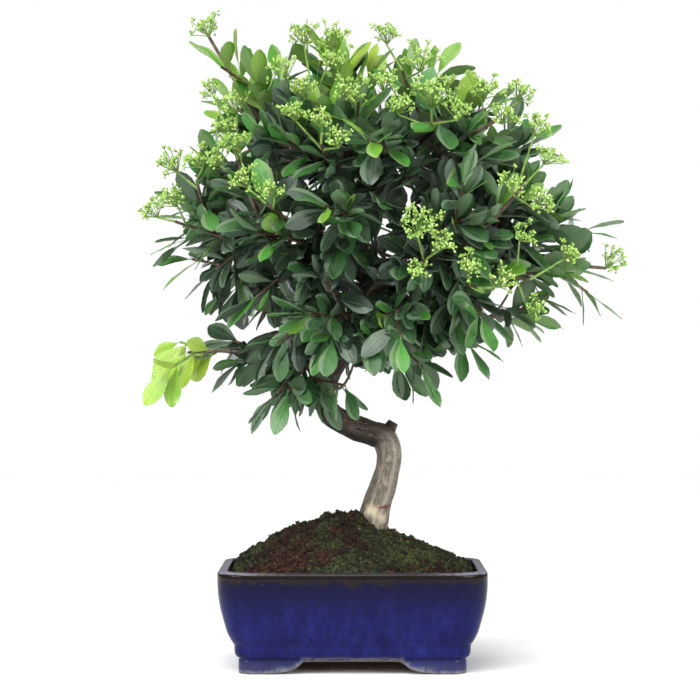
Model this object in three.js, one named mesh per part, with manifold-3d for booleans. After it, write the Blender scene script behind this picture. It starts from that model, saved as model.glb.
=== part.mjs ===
// Firethorn (Pyracantha) bonsai in a glazed stoneware pot, in bud.
// Millimetres, +Z up, the front of the pot towards -Y. While it is built, the pot stands on z = 0 and is
// centred on x = y = 0; at the end the whole tree is shifted so that its box is centred over the origin.
//
// One piece each: the pot, two drain meshes, the soil, and the trunk with the limbs that grew from it.
// The crown is made of leafy tufts and of twigs with heads of flower buds, one piece for each.

import * as THREE from 'three';
import { mergeVertices } from 'three/addons/utils/BufferGeometryUtils.js';
import Module from 'manifold-3d';

const wasm = await Module();
wasm.setup();

// Clear space between pieces that touch in the real thing
const GAP = 0.35;
const SEED = 3784;
const TURN = 2 * Math.PI;
const UP = new THREE.Vector3(0, 0, 1);

const v3 = (xyz) => new THREE.Vector3(...xyz);

// Solids

function solid(geometry) {
  const bare = geometry.clone();
  bare.deleteAttribute('normal');
  bare.deleteAttribute('uv');
  const merged = mergeVertices(bare, 1e-4);
  return new wasm.Manifold(new wasm.Mesh({
    numProp: 3,
    vertProperties: new Float32Array(merged.getAttribute('position').array),
    triVerts: new Uint32Array(merged.index.array),
  }));
}

function geometryOf(manifold) {
  const { vertProperties, triVerts } = manifold.getMesh();
  const geometry = new THREE.BufferGeometry();
  geometry.setAttribute('position', new THREE.BufferAttribute(new Float32Array(vertProperties), 3));
  geometry.setIndex(new THREE.BufferAttribute(new Uint32Array(triVerts), 1));
  geometry.computeVertexNormals();
  return geometry;
}

function geometryFrom(points, triangles) {
  const geometry = new THREE.BufferGeometry();
  geometry.setAttribute('position', new THREE.Float32BufferAttribute(points.flatMap((p) => p.toArray()), 3));
  geometry.setIndex(triangles);
  return geometry;
}

// A skin under construction. It grows outwards from openings: an opening is a list of points, in turn as seen
// from outside, round a face that has been left out.
class Skin {
  points = [];

  triangles = [];

  ring(points) {
    const first = this.points.length;
    this.points.push(...points);
    return points.map((_, k) => first + k);
  }

  // Sides from an opening to a ring of the same count; crossed sides have their diagonal the other way
  sides(opening, ring, crossed = []) {
    const count = ring.length;
    for (let k = 0; k < count; k++) {
      const next = (k + 1) % count;
      const [a, b, c, d] = [opening[k], opening[next], ring[next], ring[k]];
      if (crossed.includes(k)) this.triangles.push(a, b, d, b, c, d);
      else this.triangles.push(a, b, c, a, c, d);
    }
    return ring;
  }

  // Closes an opening by a fan from its first point
  close(opening) {
    for (let k = 1; k < opening.length - 1; k++) this.triangles.push(opening[0], opening[k], opening[k + 1]);
  }

  // Closes an opening with faces that meet at a point
  peak(opening, point) {
    const [top] = this.ring([point]);
    opening.forEach((a, k) => this.triangles.push(a, opening[(k + 1) % opening.length], top));
  }

  // Starts with a ring, closed on its near side
  begin(points) {
    const ring = this.ring(points);
    this.close([...ring].reverse());
    return ring;
  }

  // The new ring's points in the turn that lies best against the opening's
  matched(opening, points) {
    const place = (list) => {
      const middle = list.reduce((sum, p) => sum.add(p), new THREE.Vector3()).divideScalar(list.length);
      return list.map((p) => p.clone().sub(middle).normalize());
    };
    const from = place(opening.map((k) => this.points[k]));
    const to = place(points);
    const likeness = points.map((_, turn) => from.reduce(
      (sum, p, k) => sum + p.dot(to[(k + turn) % to.length]), 0));
    const turn = likeness.indexOf(Math.max(...likeness));
    return [points.map((_, k) => points[(k + turn) % points.length]), turn];
  }

  solid() {
    return solid(geometryFrom(this.points, this.triangles));
  }
}

// A closed skin through rings of points, all with the same count and turning the same way
function loft(rings) {
  const skin = new Skin();
  let ring = skin.begin(rings[0]);
  for (const points of rings.slice(1)) ring = skin.sides(ring, skin.ring(points));
  skin.close(ring);
  return skin.solid();
}

// Points round a centre, from its side vector towards its lift vector
function discRing(centre, [side, lift], radius, sides, spin = 0) {
  return Array.from({ length: sides }, (_, k) => centre.clone()
    .addScaledVector(side, radius * Math.cos(spin + (TURN * k) / sides))
    .addScaledVector(lift, radius * Math.sin(spin + (TURN * k) / sides)));
}

// The ring of a round stem at a share of its curve
function stemRing(curve, share, radius, sides) {
  return discRing(curve.getPoint(share), across(curve.getTangent(share), wayOf(curve)), radius, sides);
}

// A round stem along a curve, with flat ends
function stem(curve, radiusAt, sides, steps) {
  return loft(Array.from({ length: steps + 1 }, (_, i) => stemRing(curve, i / steps, radiusAt(i / steps), sides)));
}

// Two unit vectors square to a direction; side, lift and the direction are right-handed. They turn from the axis
// that lies furthest from the way that a stem goes as a whole.
function across(direction, way = direction) {
  const sizes = way.toArray().map(Math.abs);
  const axis = new THREE.Vector3().setComponent(sizes.indexOf(Math.min(...sizes)), 1);
  const side = new THREE.Vector3().crossVectors(direction, axis).normalize();
  return [side, new THREE.Vector3().crossVectors(direction, side).normalize()];
}

const wayOf = (curve) => curve.getPoint(1).sub(curve.getPoint(0));

// The same stream of numbers between 0 and 1 for the same seed (the mulberry32 rule)
function seeded(seed) {
  let state = seed >>> 0;
  return () => {
    state = (state + 0x6d2b79f5) >>> 0;
    let mixed = Math.imul(state ^ (state >>> 15), state | 1);
    mixed ^= mixed + Math.imul(mixed ^ (mixed >>> 7), mixed | 61);
    return ((mixed ^ (mixed >>> 14)) >>> 0) / 4294967296;
  };
}

// Pot: slip-cast stoneware with rounded corners, a bulging belly, and a foot band cut away between four feet

const POT = {
  length: 200,
  width: 155,
  height: 75,
  corner: 28,
  cornerSteps: 3,
  floor: 16,
  recess: 9.6,
  footRing: 13,
};

// Height of each ring, and how far it stands in from the widest outline
const POT_OUTSIDE = [
  [0, 16.9], [1, 16], [9.2, 15.8], [10.2, 16.6], [11.4, 16.2], [12.2, 14.4], [15, 12.9], [20.6, 12.5],
  [22.8, 11.1], [27.2, 8.5], [31.7, 6.6], [40.5, 4.1], [49.4, 1.8], [60.4, 0.3], [71, 0], [74.2, 0.5], [75, 1.5],
];
const POT_INSIDE = [[75, 6.6], [74, 7.6], [60, 8.4], [36, 13], [22, 19], [POT.floor, 25]];

// A level ring in the pot's plan, standing in from its widest outline
function potRing(height, inset) {
  const radius = Math.max(POT.corner - inset, 8);
  const x = POT.length / 2 - inset - radius;
  const y = POT.width / 2 - inset - radius;
  const ring = [];
  [[x, y], [-x, y], [-x, -y], [x, -y]].forEach(([cx, cy], corner) => {
    for (let k = 0; k <= POT.cornerSteps; k++) {
      const angle = (TURN / 4) * (corner + k / POT.cornerSteps);
      ring.push(new THREE.Vector3(cx + radius * Math.cos(angle), cy + radius * Math.sin(angle), height));
    }
  });
  return ring;
}

// The arch between two feet, as an extruded outline that runs right through the pot
function footArch(halfTop, halfFoot, through) {
  const shape = new THREE.Shape();
  shape.moveTo(-halfFoot, -1);
  shape.lineTo(-halfFoot, 0);
  shape.lineTo(-halfTop - 9, 2.2);
  shape.lineTo(-halfTop - 2, 4.6);
  shape.lineTo(-halfTop, POT.recess);
  shape.lineTo(halfTop, POT.recess);
  shape.lineTo(halfTop + 2, 4.6);
  shape.lineTo(halfTop + 9, 2.2);
  shape.lineTo(halfFoot, 0);
  shape.lineTo(halfFoot, -1);
  const arch = new THREE.ExtrudeGeometry(shape, { depth: through, bevelEnabled: false, curveSegments: 1 });
  arch.translate(0, 0, -through / 2);
  arch.rotateX(Math.PI / 2);
  return arch;
}

const DRAIN = { radius: 8, x: 45, sides: 8, meshSide: 30, meshThick: 1.2, meshPitch: 12, meshOpening: 9 };

function makePot() {
  const wall = loft([...POT_OUTSIDE, ...POT_INSIDE].map(([height, inset]) => potRing(height, inset)));
  const longArch = solid(footArch(38, 63, POT.width + 10));
  const shortArch = solid(footArch(22, 40, POT.length + 10).rotateZ(Math.PI / 2));
  const under = loft([-1, POT.recess].map((height) => potRing(height, 16 + POT.footRing)));
  let pot = wall.subtract(longArch).subtract(shortArch).subtract(under);
  for (const x of [-DRAIN.x, DRAIN.x]) {
    const hole = new THREE.CylinderGeometry(DRAIN.radius, DRAIN.radius, POT.floor * 2, DRAIN.sides);
    pot = pot.subtract(solid(hole.rotateX(Math.PI / 2).translate(x, 0, POT.floor / 2)));
  }
  return pot;
}

// A square of plastic mesh that lies on the pot's floor over a drain hole: a sheet with square openings
function makeDrainMesh(x) {
  const { meshSide: side, meshThick: thick, meshPitch: pitch, meshOpening: opening } = DRAIN;
  let sheet = solid(new THREE.BoxGeometry(side, side, thick));
  for (const across of [-pitch / 2, pitch / 2]) {
    for (const along of [-pitch / 2, pitch / 2]) {
      sheet = sheet.subtract(solid(new THREE.BoxGeometry(opening, opening, thick * 2).translate(across, along, 0)));
    }
  }
  return sheet.translate([x, 0, POT.floor + GAP + thick / 2]);
}

// Trunk: points along its axis with the radius there, from the root crown up to the leader's end

const TRUNK = [
  [6, 0, 56, 8], [10, 0, 84, 12.5], [14.8, 0, 106, 11.8], [19.7, 0, 124, 10.6], [23.5, 0, 135.7, 10],
  [27, 0, 150, 9.6], [27.4, 0, 161.5, 9.5], [23, 0, 171.5, 9.6], [12, 0, 175.8, 9.5], [-1.1, 0, 180.8, 9.4],
  [-14.5, 0, 187.5, 9.1], [-20.6, 0, 197.5, 8.2], [-19.3, 0, 211.5, 7.2], [-11, 1, 227.4, 6.7],
  [-0.4, 3, 240.3, 6.3], [9.5, 5, 257, 5.7], [13.3, 5, 283.5, 5], [7.2, 3, 321.4, 4.3], [9.5, 1, 359, 3.5],
  [-0.4, 0, 397, 2.8], [-5, -2, 428, 2.1],
];
const TRUNK_SIDES = 8;

// The dark stub of a cut branch on the outside of the knee
const STUB = { from: [24, 0, 171], to: [31, 0, 183.5], radius: 4.2 };

// Roots that leave the root crown and run out into the soil
const ROOTS = [
  [[10, 0, 92], [-6, -8, 84], [-26, -16, 66]],
  [[10, 0, 90], [28, -10, 78], [48, -18, 60]],
  [[10, 0, 88], [22, 14, 76], [34, 32, 58]],
  [[10, 0, 91], [-4, 12, 80], [-20, 28, 62]],
];
const ROOT_RADII = [6, 2.5];

// Limbs: the place on the trunk where each leaves it, counted in trunk points, the points that it passes
// through, and its radius at both ends
const LIMBS = [
  { knot: 12.6, via: [[-31, -5, 235], [-44, -7, 237], [-63, -8, 234], [-92, -9, 237]], radii: [4, 2] },
  { knot: 10.7, via: [[-38, 5, 205], [-50, 14, 220], [-66, 34, 240]], radii: [5.2, 2.2] },
  { knot: 14.2, via: [[33, -3, 250.5], [66, -5, 257], [100, -6, 262]], radii: [3.6, 1.9] },
  { knot: 14.6, via: [[0, -28, 252], [-4, -62, 262]], radii: [3.2, 1.8] },
  { knot: 14.8, via: [[6, 36, 252], [8, 72, 264]], radii: [3.2, 1.8] },
  { knot: 15.9, via: [[-30, -4, 300], [-62, -8, 312], [-92, -6, 324]], radii: [3.6, 2] },
  { knot: 16.2, via: [[-20, -32, 303], [-52, -68, 315]], radii: [3.2, 1.8] },
  { knot: 16.0, via: [[55, 2, 300], [98, 0, 303], [140, -4, 303]], radii: [3.8, 1.9] },
  { knot: 16.4, via: [[40, -36, 308], [74, -76, 312]], radii: [3.2, 1.8] },
  { knot: 16.3, via: [[45, 34, 305], [88, 66, 318]], radii: [3.2, 1.8] },
  { knot: 16.5, via: [[-20, 36, 308], [-56, 66, 322]], radii: [3.2, 1.8] },
  { knot: 17.6, via: [[-30, -2, 372], [-62, -4, 402], [-80, -5, 428]], radii: [3.2, 1.8] },
  { knot: 17.7, via: [[0, -36, 362], [-4, -72, 378]], radii: [2.8, 1.8] },
  { knot: 18.0, via: [[38, -36, 382], [62, -58, 402]], radii: [2.8, 1.8] },
  { knot: 17.9, via: [[50, 6, 375], [84, 10, 388], [112, 10, 398]], radii: [3, 1.8] },
  { knot: 18.1, via: [[4, 38, 380], [8, 70, 396]], radii: [2.8, 1.8] },
];
const LIMB_SIDES = 4;

const between = (from, to) => (share) => from + (to - from) * share;
const smooth = (points) => new THREE.CatmullRomCurve3(points, false, 'catmullrom', 0.5);

const trunkCurve = smooth(TRUNK.map(([x, y, z]) => new THREE.Vector3(x, y, z)));
const trunkRadius = smooth(TRUNK.map(([, , , radius]) => new THREE.Vector3(radius, 0, 0)));
const trunkRadiusAt = (share) => trunkRadius.getPoint(share).x;

const limbs = LIMBS.map(({ knot, via, radii }) => ({
  curve: smooth([trunkCurve.getPoint(knot / (TRUNK.length - 1)), ...via.map(v3)]),
  radiusAt: between(...radii),
  steps: via.length + 1,
  reach: [0.4, 1],
}));

// The upper part of the trunk carries twigs as a limb does
const leader = { curve: trunkCurve, radiusAt: trunkRadiusAt, reach: [0.56, 1] };

// The trunk and its main roots; fatter all round for the hole that they stand in
function trunkAndRoots(fatter) {
  const trunk = stem(trunkCurve, (share) => trunkRadiusAt(share) + fatter, TRUNK_SIDES, TRUNK.length + 1);
  const rootRadius = between(...ROOT_RADII);
  return ROOTS.reduce((wood, via) => wood.add(
    stem(smooth(via.map(v3)), (share) => rootRadius(share) + fatter, LIMB_SIDES, 3)), trunk);
}

function makeTrunk() {
  const stub = new THREE.LineCurve3(v3(STUB.from), v3(STUB.to));
  const wood = trunkAndRoots(0).add(stem(stub, () => STUB.radius, 6, 1));
  return limbs.reduce((all, { curve, radiusAt, steps }) => all.add(
    stem(curve, radiusAt, LIMB_SIDES, steps)), wood);
}

// Soil: fills the pot and rises in a mound to the foot of the trunk

const SOIL = { clear: 0.4, rimHeight: 69, rings: 5, lumps: 1.6 };
const MOUND = {
  x: 3, turn: 24, height: 46, left: 98, right: 95, deep: 74, leftPower: 1.6, rightPower: 0.75, edgePower: 0.8,
};

// Height of the mound over the soil at the rim: a dome left of the trunk, steeper by the trunk on its right, one
// form turning into the other round the middle, with small lumps
function moundHeight(x, y) {
  const { smoothstep, lerp } = THREE.MathUtils;
  const turned = smoothstep(x, MOUND.x - MOUND.turn, MOUND.x + MOUND.turn);
  const long = lerp(MOUND.left, MOUND.right, turned);
  const power = lerp(MOUND.leftPower, MOUND.rightPower, turned);
  const away = Math.min(1, Math.hypot((x - MOUND.x) / long, y / MOUND.deep));
  const dome = MOUND.height * Math.pow(1 - Math.pow(away, power), MOUND.edgePower);
  const lumps = Math.sin(x * 0.31 + 1.3) * Math.cos(y * 0.27 + 0.4) + 0.6 * Math.sin(x * 0.17 - y * 0.23);
  return dome + SOIL.lumps * lumps;
}

function makeSoil() {
  const inside = POT_INSIDE.map(([height, inset]) => [height, inset + SOIL.clear]).reverse();
  const rings = inside.filter(([height]) => height < SOIL.rimHeight).map(([height, inset]) => potRing(
    height + (height === POT.floor ? DRAIN.meshThick + 2 * GAP : 0), inset));
  const edge = potRing(SOIL.rimHeight, POT_INSIDE[1][1] + SOIL.clear + 0.3);
  rings.push(edge);
  for (let ring = 1; ring <= SOIL.rings; ring++) {
    const shrink = 1 - ring / (SOIL.rings + 0.35);
    rings.push(edge.map((p) => {
      const x = MOUND.x + (p.x - MOUND.x) * shrink;
      const y = p.y * shrink;
      return new THREE.Vector3(x, y, SOIL.rimHeight + moundHeight(x, y));
    }));
  }
  return loft(rings).subtract(trunkAndRoots(GAP));
}

// Crown: where its middle is, and where outwards and light-wards are for a point of it

const HEART = new THREE.Vector3(22, 0, 318);

const outwards = (point) => point.clone().sub(HEART).normalize();

// Beads mark the space that a piece takes up, as [x, y, z, radius, piece]
const beads = [];
const CLEAR = 1.1;
const BEAD_STEP = 3;
// Beads this near to where a twig leaves its limb don't count against it
const SPARE_REACH = 9;

// Whether beads keep clear of the other pieces' beads. Those of their own piece count only where ownGap is given.
function isClear(candidate, piece, { ownGap = null, spare = null } = {}) {
  return candidate.every(([x, y, z, radius]) => beads.every(([bx, by, bz, other, owner]) => {
    if (owner === piece && ownGap === null) return true;
    const reach = radius + other + (owner === piece ? ownGap : CLEAR);
    const dx = x - bx;
    const dy = y - by;
    const dz = z - bz;
    if (dx * dx + dy * dy + dz * dz >= reach * reach) return true;
    return spare !== null && owner === 'trunk' && Math.hypot(bx - spare.x, by - spare.y, bz - spare.z) < SPARE_REACH;
  }));
}

function stemBeads(curve, radiusAt, length) {
  const count = Math.ceil(length / BEAD_STEP);
  const list = [];
  for (let i = 0; i <= count; i++) {
    const share = i / count;
    const { x, y, z } = curve.getPoint(share);
    list.push([x, y, z, radiusAt(share)]);
  }
  return list;
}

function claim(list, piece) {
  for (const bead of list) beads.push([...bead, piece]);
}

// A twig to a tip, from a place on a limb: it leaves the limb's side squarely, or goes on from its end
function twigFrom(limb, share, tip) {
  const place = limb.curve.getPoint(share);
  const along = limb.curve.getTangent(share);
  const aim = tip.clone().sub(place);
  const length = aim.length();
  const leave = share === 1
    ? along.clone()
    : aim.clone().normalize().addScaledVector(along, -aim.clone().normalize().dot(along)).normalize();
  const start = place.clone().addScaledVector(leave, share === 1 ? GAP : limb.radiusAt(share) + GAP);
  const bend = start.clone().addScaledVector(leave, 0.3 * length);
  const turned = aim.normalize().dot(along);
  return {
    curve: new THREE.QuadraticBezierCurve3(start, bend, tip),
    length,
    start,
    cost: length * (1.6 - 0.6 * turned),
  };
}

const SHORTEST_TWIG = 24;

// The cheapest clear way from any limb to a tip: short, but with room for its joints, and leaving forwards
function growTwig(tip, radiusAt, piece) {
  const ways = [];
  for (const limb of [...limbs, leader]) {
    const [low, high] = limb.reach;
    for (let step = 0; step <= 12; step++) {
      ways.push(twigFrom(limb, low + ((high - low) * step) / 12, tip));
    }
  }
  ways.sort((a, b) => a.cost - b.cost);
  for (const way of ways.filter(({ length: long }) => long > SHORTEST_TWIG)) {
    const list = stemBeads(way.curve, radiusAt, way.length);
    if (isClear(list, piece, { spare: way.start })) {
      claim(list, piece);
      return way;
    }
  }
  throw new Error(`no clear way to the tip of piece ${piece}`);
}

// Shoots: a shoot is a four-sided stem along a curve with joints, where leaves, side shoots or stalks leave it
// from the four faces between two rings

const JOINT_LENGTH = 2.6;

// A joint's place on its stem, and which way each of its four faces looks
function atJoint(curve, share) {
  const along = curve.getTangent(share);
  const [side, lift] = across(along, wayOf(curve));
  const normals = [0.5, 1.5, 2.5, 3.5].map((k) => side.clone().multiplyScalar(Math.cos((TURN / 4) * k))
    .addScaledVector(lift, Math.sin((TURN / 4) * k)));
  return { share, along, side, lift, normals, place: curve.getPoint(share), held: new Map() };
}

// The free face of a joint that looks most nearly along a direction, and how nearly
function freeFace({ normals, held }, aim) {
  const facing = normals.map((normal, k) => (held.has(k) ? -2 : normal.dot(aim)));
  const best = Math.max(...facing);
  return [facing.indexOf(best), best];
}

function makeShoot(curve, radii, shares) {
  return {
    curve,
    radiusAt: between(...radii),
    joints: shares.map((share) => atJoint(curve, share)),
    end: atJoint(curve, 1),
  };
}

// Grows a shoot's skin from an opening, or from a flat end of its own, with all that its joints hold
function skinShoot(skin, opening, { curve, radiusAt, joints, end }) {
  const half = JOINT_LENGTH / 2 / curve.getLength();
  const ringAt = (share) => stemRing(curve, share, radiusAt(share), 4);
  let last = opening ?? skin.begin(ringAt(0));
  const reach = (share) => {
    const [points] = skin.matched(last, ringAt(share));
    last = skin.sides(last, skin.ring(points));
  };
  if (!opening) reach(0.2);
  for (const { share, place, held, normals } of joints) {
    reach(share - half);
    const near = last;
    const [points] = skin.matched(near, ringAt(share + half));
    last = skin.ring(points);
    const faces = near.map((a, k) => [a, near[(k + 1) % 4], last[(k + 1) % 4], last[k]]);
    // The rings may start a turn away from the joint's own numbers, so its first face is found by the way it looks
    const looks = faces.map((face) => face.reduce((sum, k) => sum.add(skin.points[k]), new THREE.Vector3())
      .divideScalar(4).sub(place).dot(normals[0]));
    const first = looks.indexOf(Math.max(...looks));
    faces.forEach((face, k) => {
      const grown = held.get((k - first + 4) % 4);
      if (grown) grown(skin, face);
      else skin.close(face);
    });
  }
  reach(1);
  const tip = end.held.get(0);
  if (tip) tip(skin, last);
  else skin.close(last);
}

function skinOf(shoot) {
  const skin = new Skin();
  skinShoot(skin, null, shoot);
  return skin.solid();
}

// Flower buds: each twig forks to flat-domed heads, given by their middle and radius
const BUD_TWIGS = [
  { name: 'buds_top_left', heads: [[-111, -6, 482, 11]] },
  {
    name: 'buds_upper_left_front',
    heads: [[-105, -38, 431, 8], [-87, -78, 416, 10], [-93, -84, 401, 9], [-84, -95, 388, 10], [-99, -88, 377, 9]],
  },
  { name: 'buds_left_shoulder', heads: [[-134, -43, 376, 11], [-113, -74, 377, 10]] },
  { name: 'buds_left', heads: [[-134, -50, 350, 11], [-150, -26, 342, 9]] },
  { name: 'buds_left_front', heads: [[-78, -109, 360, 10], [-58, -118, 351, 9]] },
  {
    name: 'buds_top_front_left',
    heads: [[-50, -86, 441, 10], [-35, -99, 426, 10], [-37, -54, 470, 10], [-14, -66, 466, 10]],
  },
  { name: 'buds_top_front', heads: [[-12, -91, 447, 10], [-1, -112, 423, 13], [22, -106, 430, 10]] },
  { name: 'buds_upper_front', heads: [[-42, -110, 408, 10], [-23, -118, 402, 9], [-11, -125, 388, 10]] },
  { name: 'buds_top_right', heads: [[25, -74, 467, 9], [49, -93, 447, 12]] },
  { name: 'buds_upper_front_right', heads: [[33, -117, 413, 11], [58, -109, 423, 17], [76, -114, 408, 9]] },
  { name: 'buds_upper_right', heads: [[95, -97, 426, 12], [110, -98, 408, 11], [122, -80, 425, 10]] },
  {
    name: 'buds_right_shoulder',
    heads: [[134, -88, 399, 10], [141, -92, 378, 10], [113, -116, 359, 9], [134, -105, 345, 10]],
  },
  { name: 'buds_front', heads: [[47, -135, 328, 14], [63, -131, 314, 10], [45, -129, 294, 8]] },
  { name: 'buds_front_right_low', heads: [[83, -122, 298, 9], [108, -110, 287, 9]] },
  { name: 'buds_right', heads: [[122, -110, 320, 8], [157, -82, 308, 8], [132, -84, 268, 8]] },
  { name: 'buds_far_right', heads: [[197, -4, 305, 10]] },
  { name: 'buds_back_left', heads: [[-98, 74, 404, 10], [-84, 92, 384, 10]] },
  { name: 'buds_back', heads: [[2, 124, 382, 10], [24, 128, 366, 10]] },
  { name: 'buds_back_right', heads: [[98, 92, 410, 11], [122, 80, 392, 10], [78, 104, 424, 9]] },
];

const HEAD = { ways: 8, rim: 0.74, crown: 0.44, lift: 0.34, top: 0.46, depth: 0.75, bump: 0.34 };
const TWIG = { radii: [1.7, 1.2], stalk: 0.9, joints: [0.9, 0.76], forkBack: 9 };

// A domed head from an opening of four points: a funnel up to its rim, then two rounds of bud clusters,
// each a four-sided point on one face of the dome
function growHead(skin, opening, { centre, axis, radius }, spin) {
  const above = (share) => centre.clone().addScaledVector(axis, radius * share);
  const rimPoints = discRing(centre, across(axis), radius * HEAD.rim, HEAD.ways, spin);
  const crownPoints = discRing(above(HEAD.lift), across(axis), radius * HEAD.crown, HEAD.ways, spin);
  const [, turn] = skin.matched(opening, rimPoints.filter((_, k) => k % 2 === 0));
  const turned = (points) => skin.ring(points.map((_, k) => points[(k + 2 * turn) % HEAD.ways]));
  const rim = turned(rimPoints);
  const crown = turned(crownPoints);
  const [top] = skin.ring([above(HEAD.top)]);
  opening.forEach((a, k) => {
    const b = opening[(k + 1) % opening.length];
    const [c, d, e] = [rim[2 * k], rim[2 * k + 1], rim[(2 * k + 2) % HEAD.ways]];
    skin.triangles.push(a, b, d, a, d, c, b, e, d);
  });
  const bump = (face) => {
    const middle = face.reduce((sum, k) => sum.add(skin.points[k]), new THREE.Vector3()).divideScalar(face.length);
    const way = middle.clone().sub(above(-0.3)).normalize();
    skin.peak(face, middle.addScaledVector(way, radius * HEAD.bump));
  };
  for (let k = 0; k < HEAD.ways; k++) {
    const next = (k + 1) % HEAD.ways;
    bump([rim[k], rim[next], crown[next], crown[k]]);
    if (k % 2 === 0) bump([crown[k], crown[next], crown[(k + 2) % HEAD.ways], top]);
  }
}

function headBeads({ centre, axis, radius }) {
  const edge = discRing(centre, across(axis), radius * 0.62, 6).map(({ x, y, z }) => [x, y, z, radius * 0.44]);
  return [[centre.x, centre.y, centre.z, radius * 0.5], ...edge];
}

// The heads' room is claimed first, so that every twig goes round them
const budTwigs = BUD_TWIGS.map(({ name, heads }) => ({
  name,
  heads: heads.map(([x, y, z, radius]) => {
    const centre = new THREE.Vector3(x, y, z);
    const axis = outwards(centre).multiplyScalar(0.7).addScaledVector(UP, 0.7).normalize();
    const head = { centre, axis, radius, foot: centre.clone().addScaledVector(axis, -radius * HEAD.depth) };
    claim(headBeads(head), name);
    return head;
  }),
}));
for (const { curve, radiusAt } of [...limbs, leader]) {
  claim(stemBeads(curve, radiusAt, curve.getLength()), 'trunk');
}

// Grows a twig to its heads. A lone head stands on the twig's end; others have a stalk each, the first from the
// end and the rest from the faces of two joints.
function growBudTwig({ name, heads }, index) {
  const draw = seeded(SEED + 500 + index);
  const lone = heads.length === 1;
  const fork = heads.reduce((sum, { foot, axis }) => sum.add(foot).addScaledVector(axis, lone ? 0 : -TWIG.forkBack),
    new THREE.Vector3()).divideScalar(heads.length);
  const way = growTwig(fork, between(...TWIG.radii), name);
  const shoot = makeShoot(way.curve, TWIG.radii, lone ? [] : TWIG.joints.slice(0, heads.length > 3 ? 2 : 1).reverse());
  const toward = (joint, head) => head.foot.clone().sub(joint.place).normalize();
  const inTurn = [...heads].sort((a, b) => toward(shoot.end, b).dot(shoot.end.along)
    - toward(shoot.end, a).dot(shoot.end.along));
  inTurn.forEach((head, order) => {
    const spin = TURN * draw();
    const grown = (skin, opening) => {
      const foot = () => skin.matched(opening, discRing(head.foot, across(head.axis), TWIG.stalk, 4))[0];
      growHead(skin, lone ? opening : skin.sides(opening, skin.ring(foot())), head, spin);
    };
    if (order === 0) {
      shoot.end.held.set(0, grown);
    } else {
      const [joint] = [...shoot.joints].sort((a, b) => freeFace(b, toward(b, head))[1]
        - freeFace(a, toward(a, head))[1]);
      joint.held.set(freeFace(joint, toward(joint, head))[0], grown);
      const stalk = new THREE.LineCurve3(joint.place, head.foot);
      claim(stemBeads(stalk, () => TWIG.stalk, stalk.getLength()), name);
    }
  });
  return { name, shoot };
}

// Leafy tufts, by the place that the outermost leaf of each reaches
const TUFTS = [
  ['tuft_lime_left', [-146, -12, 224]],
  ['tuft_low_left', [-128, 4, 296]],
  ['tuft_left', [-132, 18, 340]],
  ['tuft_left_shoulder', [-122, -14, 374]],
  ['tuft_upper_left', [-106, 6, 440]],
  ['tuft_top_left', [-88, -12, 457]],
  ['tuft_top_inner_left', [-42, 24, 460]],
  ['tuft_top', [-11, -10, 470]],
  ['tuft_top_right', [48, 8, 468]],
  ['tuft_upper_right', [88, -16, 436]],
  ['tuft_right_shoulder', [136, 14, 416]],
  ['tuft_right_upper', [142, -50, 364]],
  ['tuft_right', [177, 16, 340]],
  ['tuft_far_right', [190, -10, 296]],
  ['tuft_low_right_tip', [150, 4, 256]],
  ['tuft_low_right', [84, -14, 248]],
  ['tuft_low_middle', [38, -30, 230]],
  ['tuft_hanging_front', [-33, -28, 190]],
  ['tuft_hanging_left', [-58, -24, 208]],
  ['tuft_bottom_left', [-84, 10, 218]],
  ['tuft_front_upper_left', [-60, -100, 404]],
  ['tuft_front_upper_right', [28, -126, 402]],
  ['tuft_front_left', [-88, -108, 324]],
  ['tuft_front', [-10, -138, 334]],
  ['tuft_front_right', [92, -122, 334]],
  ['tuft_front_low_left', [-42, -110, 252]],
  ['tuft_front_low_right', [40, -118, 258]],
  ['tuft_right_front_low', [110, -90, 256]],
  ['tuft_right_front_upper', [104, -84, 392]],
  ['tuft_back_upper_left', [-50, 98, 420]],
  ['tuft_back_upper_right', [62, 106, 408]],
  ['tuft_back_left', [-96, 98, 326]],
  ['tuft_back', [4, 138, 330]],
  ['tuft_back_right', [110, 104, 326]],
  ['tuft_back_low_left', [-44, 98, 252]],
  ['tuft_back_low_right', [54, 104, 254]],
];

// Joints along the main shoot and along a side shoot: how far out each is, and what leaves it
const TUFT = {
  radii: [1.8, 1.2],
  sideRadii: [1.2, 1],
  joints: [{ share: 0.45, shoots: 1, leaves: 1 }, { share: 0.66, leaves: 1 }, { share: 0.86, shoots: 1, leaves: 1 }],
  sideJoints: [{ share: 0.8, leaves: 2 }],
  sideLength: [24, 40],
  leafReach: 25,
  tries: 14,
};

// A leaf, as shares of its length: where its sections are and how wide each is
const LEAF = {
  length: [27, 38],
  widthShare: [0.33, 0.42],
  thick: 1.1,
  sections: [[0.42, 0.8], [0.78, 0.94]],
  beadShares: [[0.25, 0.4], [0.45, 0.8], [0.7, 1], [0.9, 0.7], [1, 0]],
  beadRadius: 2.2,
};

// How far leaves hang for the height of their root: down in the low crown, a little up at the top
const droop = (height) => Math.min(0.85, Math.max(-0.3, (325 - height) / 130));

// A unit vector that leaves a joint at an angle round its stem, leaning forwards by a share
function leaving({ along, side, lift }, angle, forwards) {
  return side.clone().multiplyScalar(Math.cos(angle)).addScaledVector(lift, Math.sin(angle))
    .multiplyScalar(1 - forwards).addScaledVector(along, forwards).normalize();
}

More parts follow.
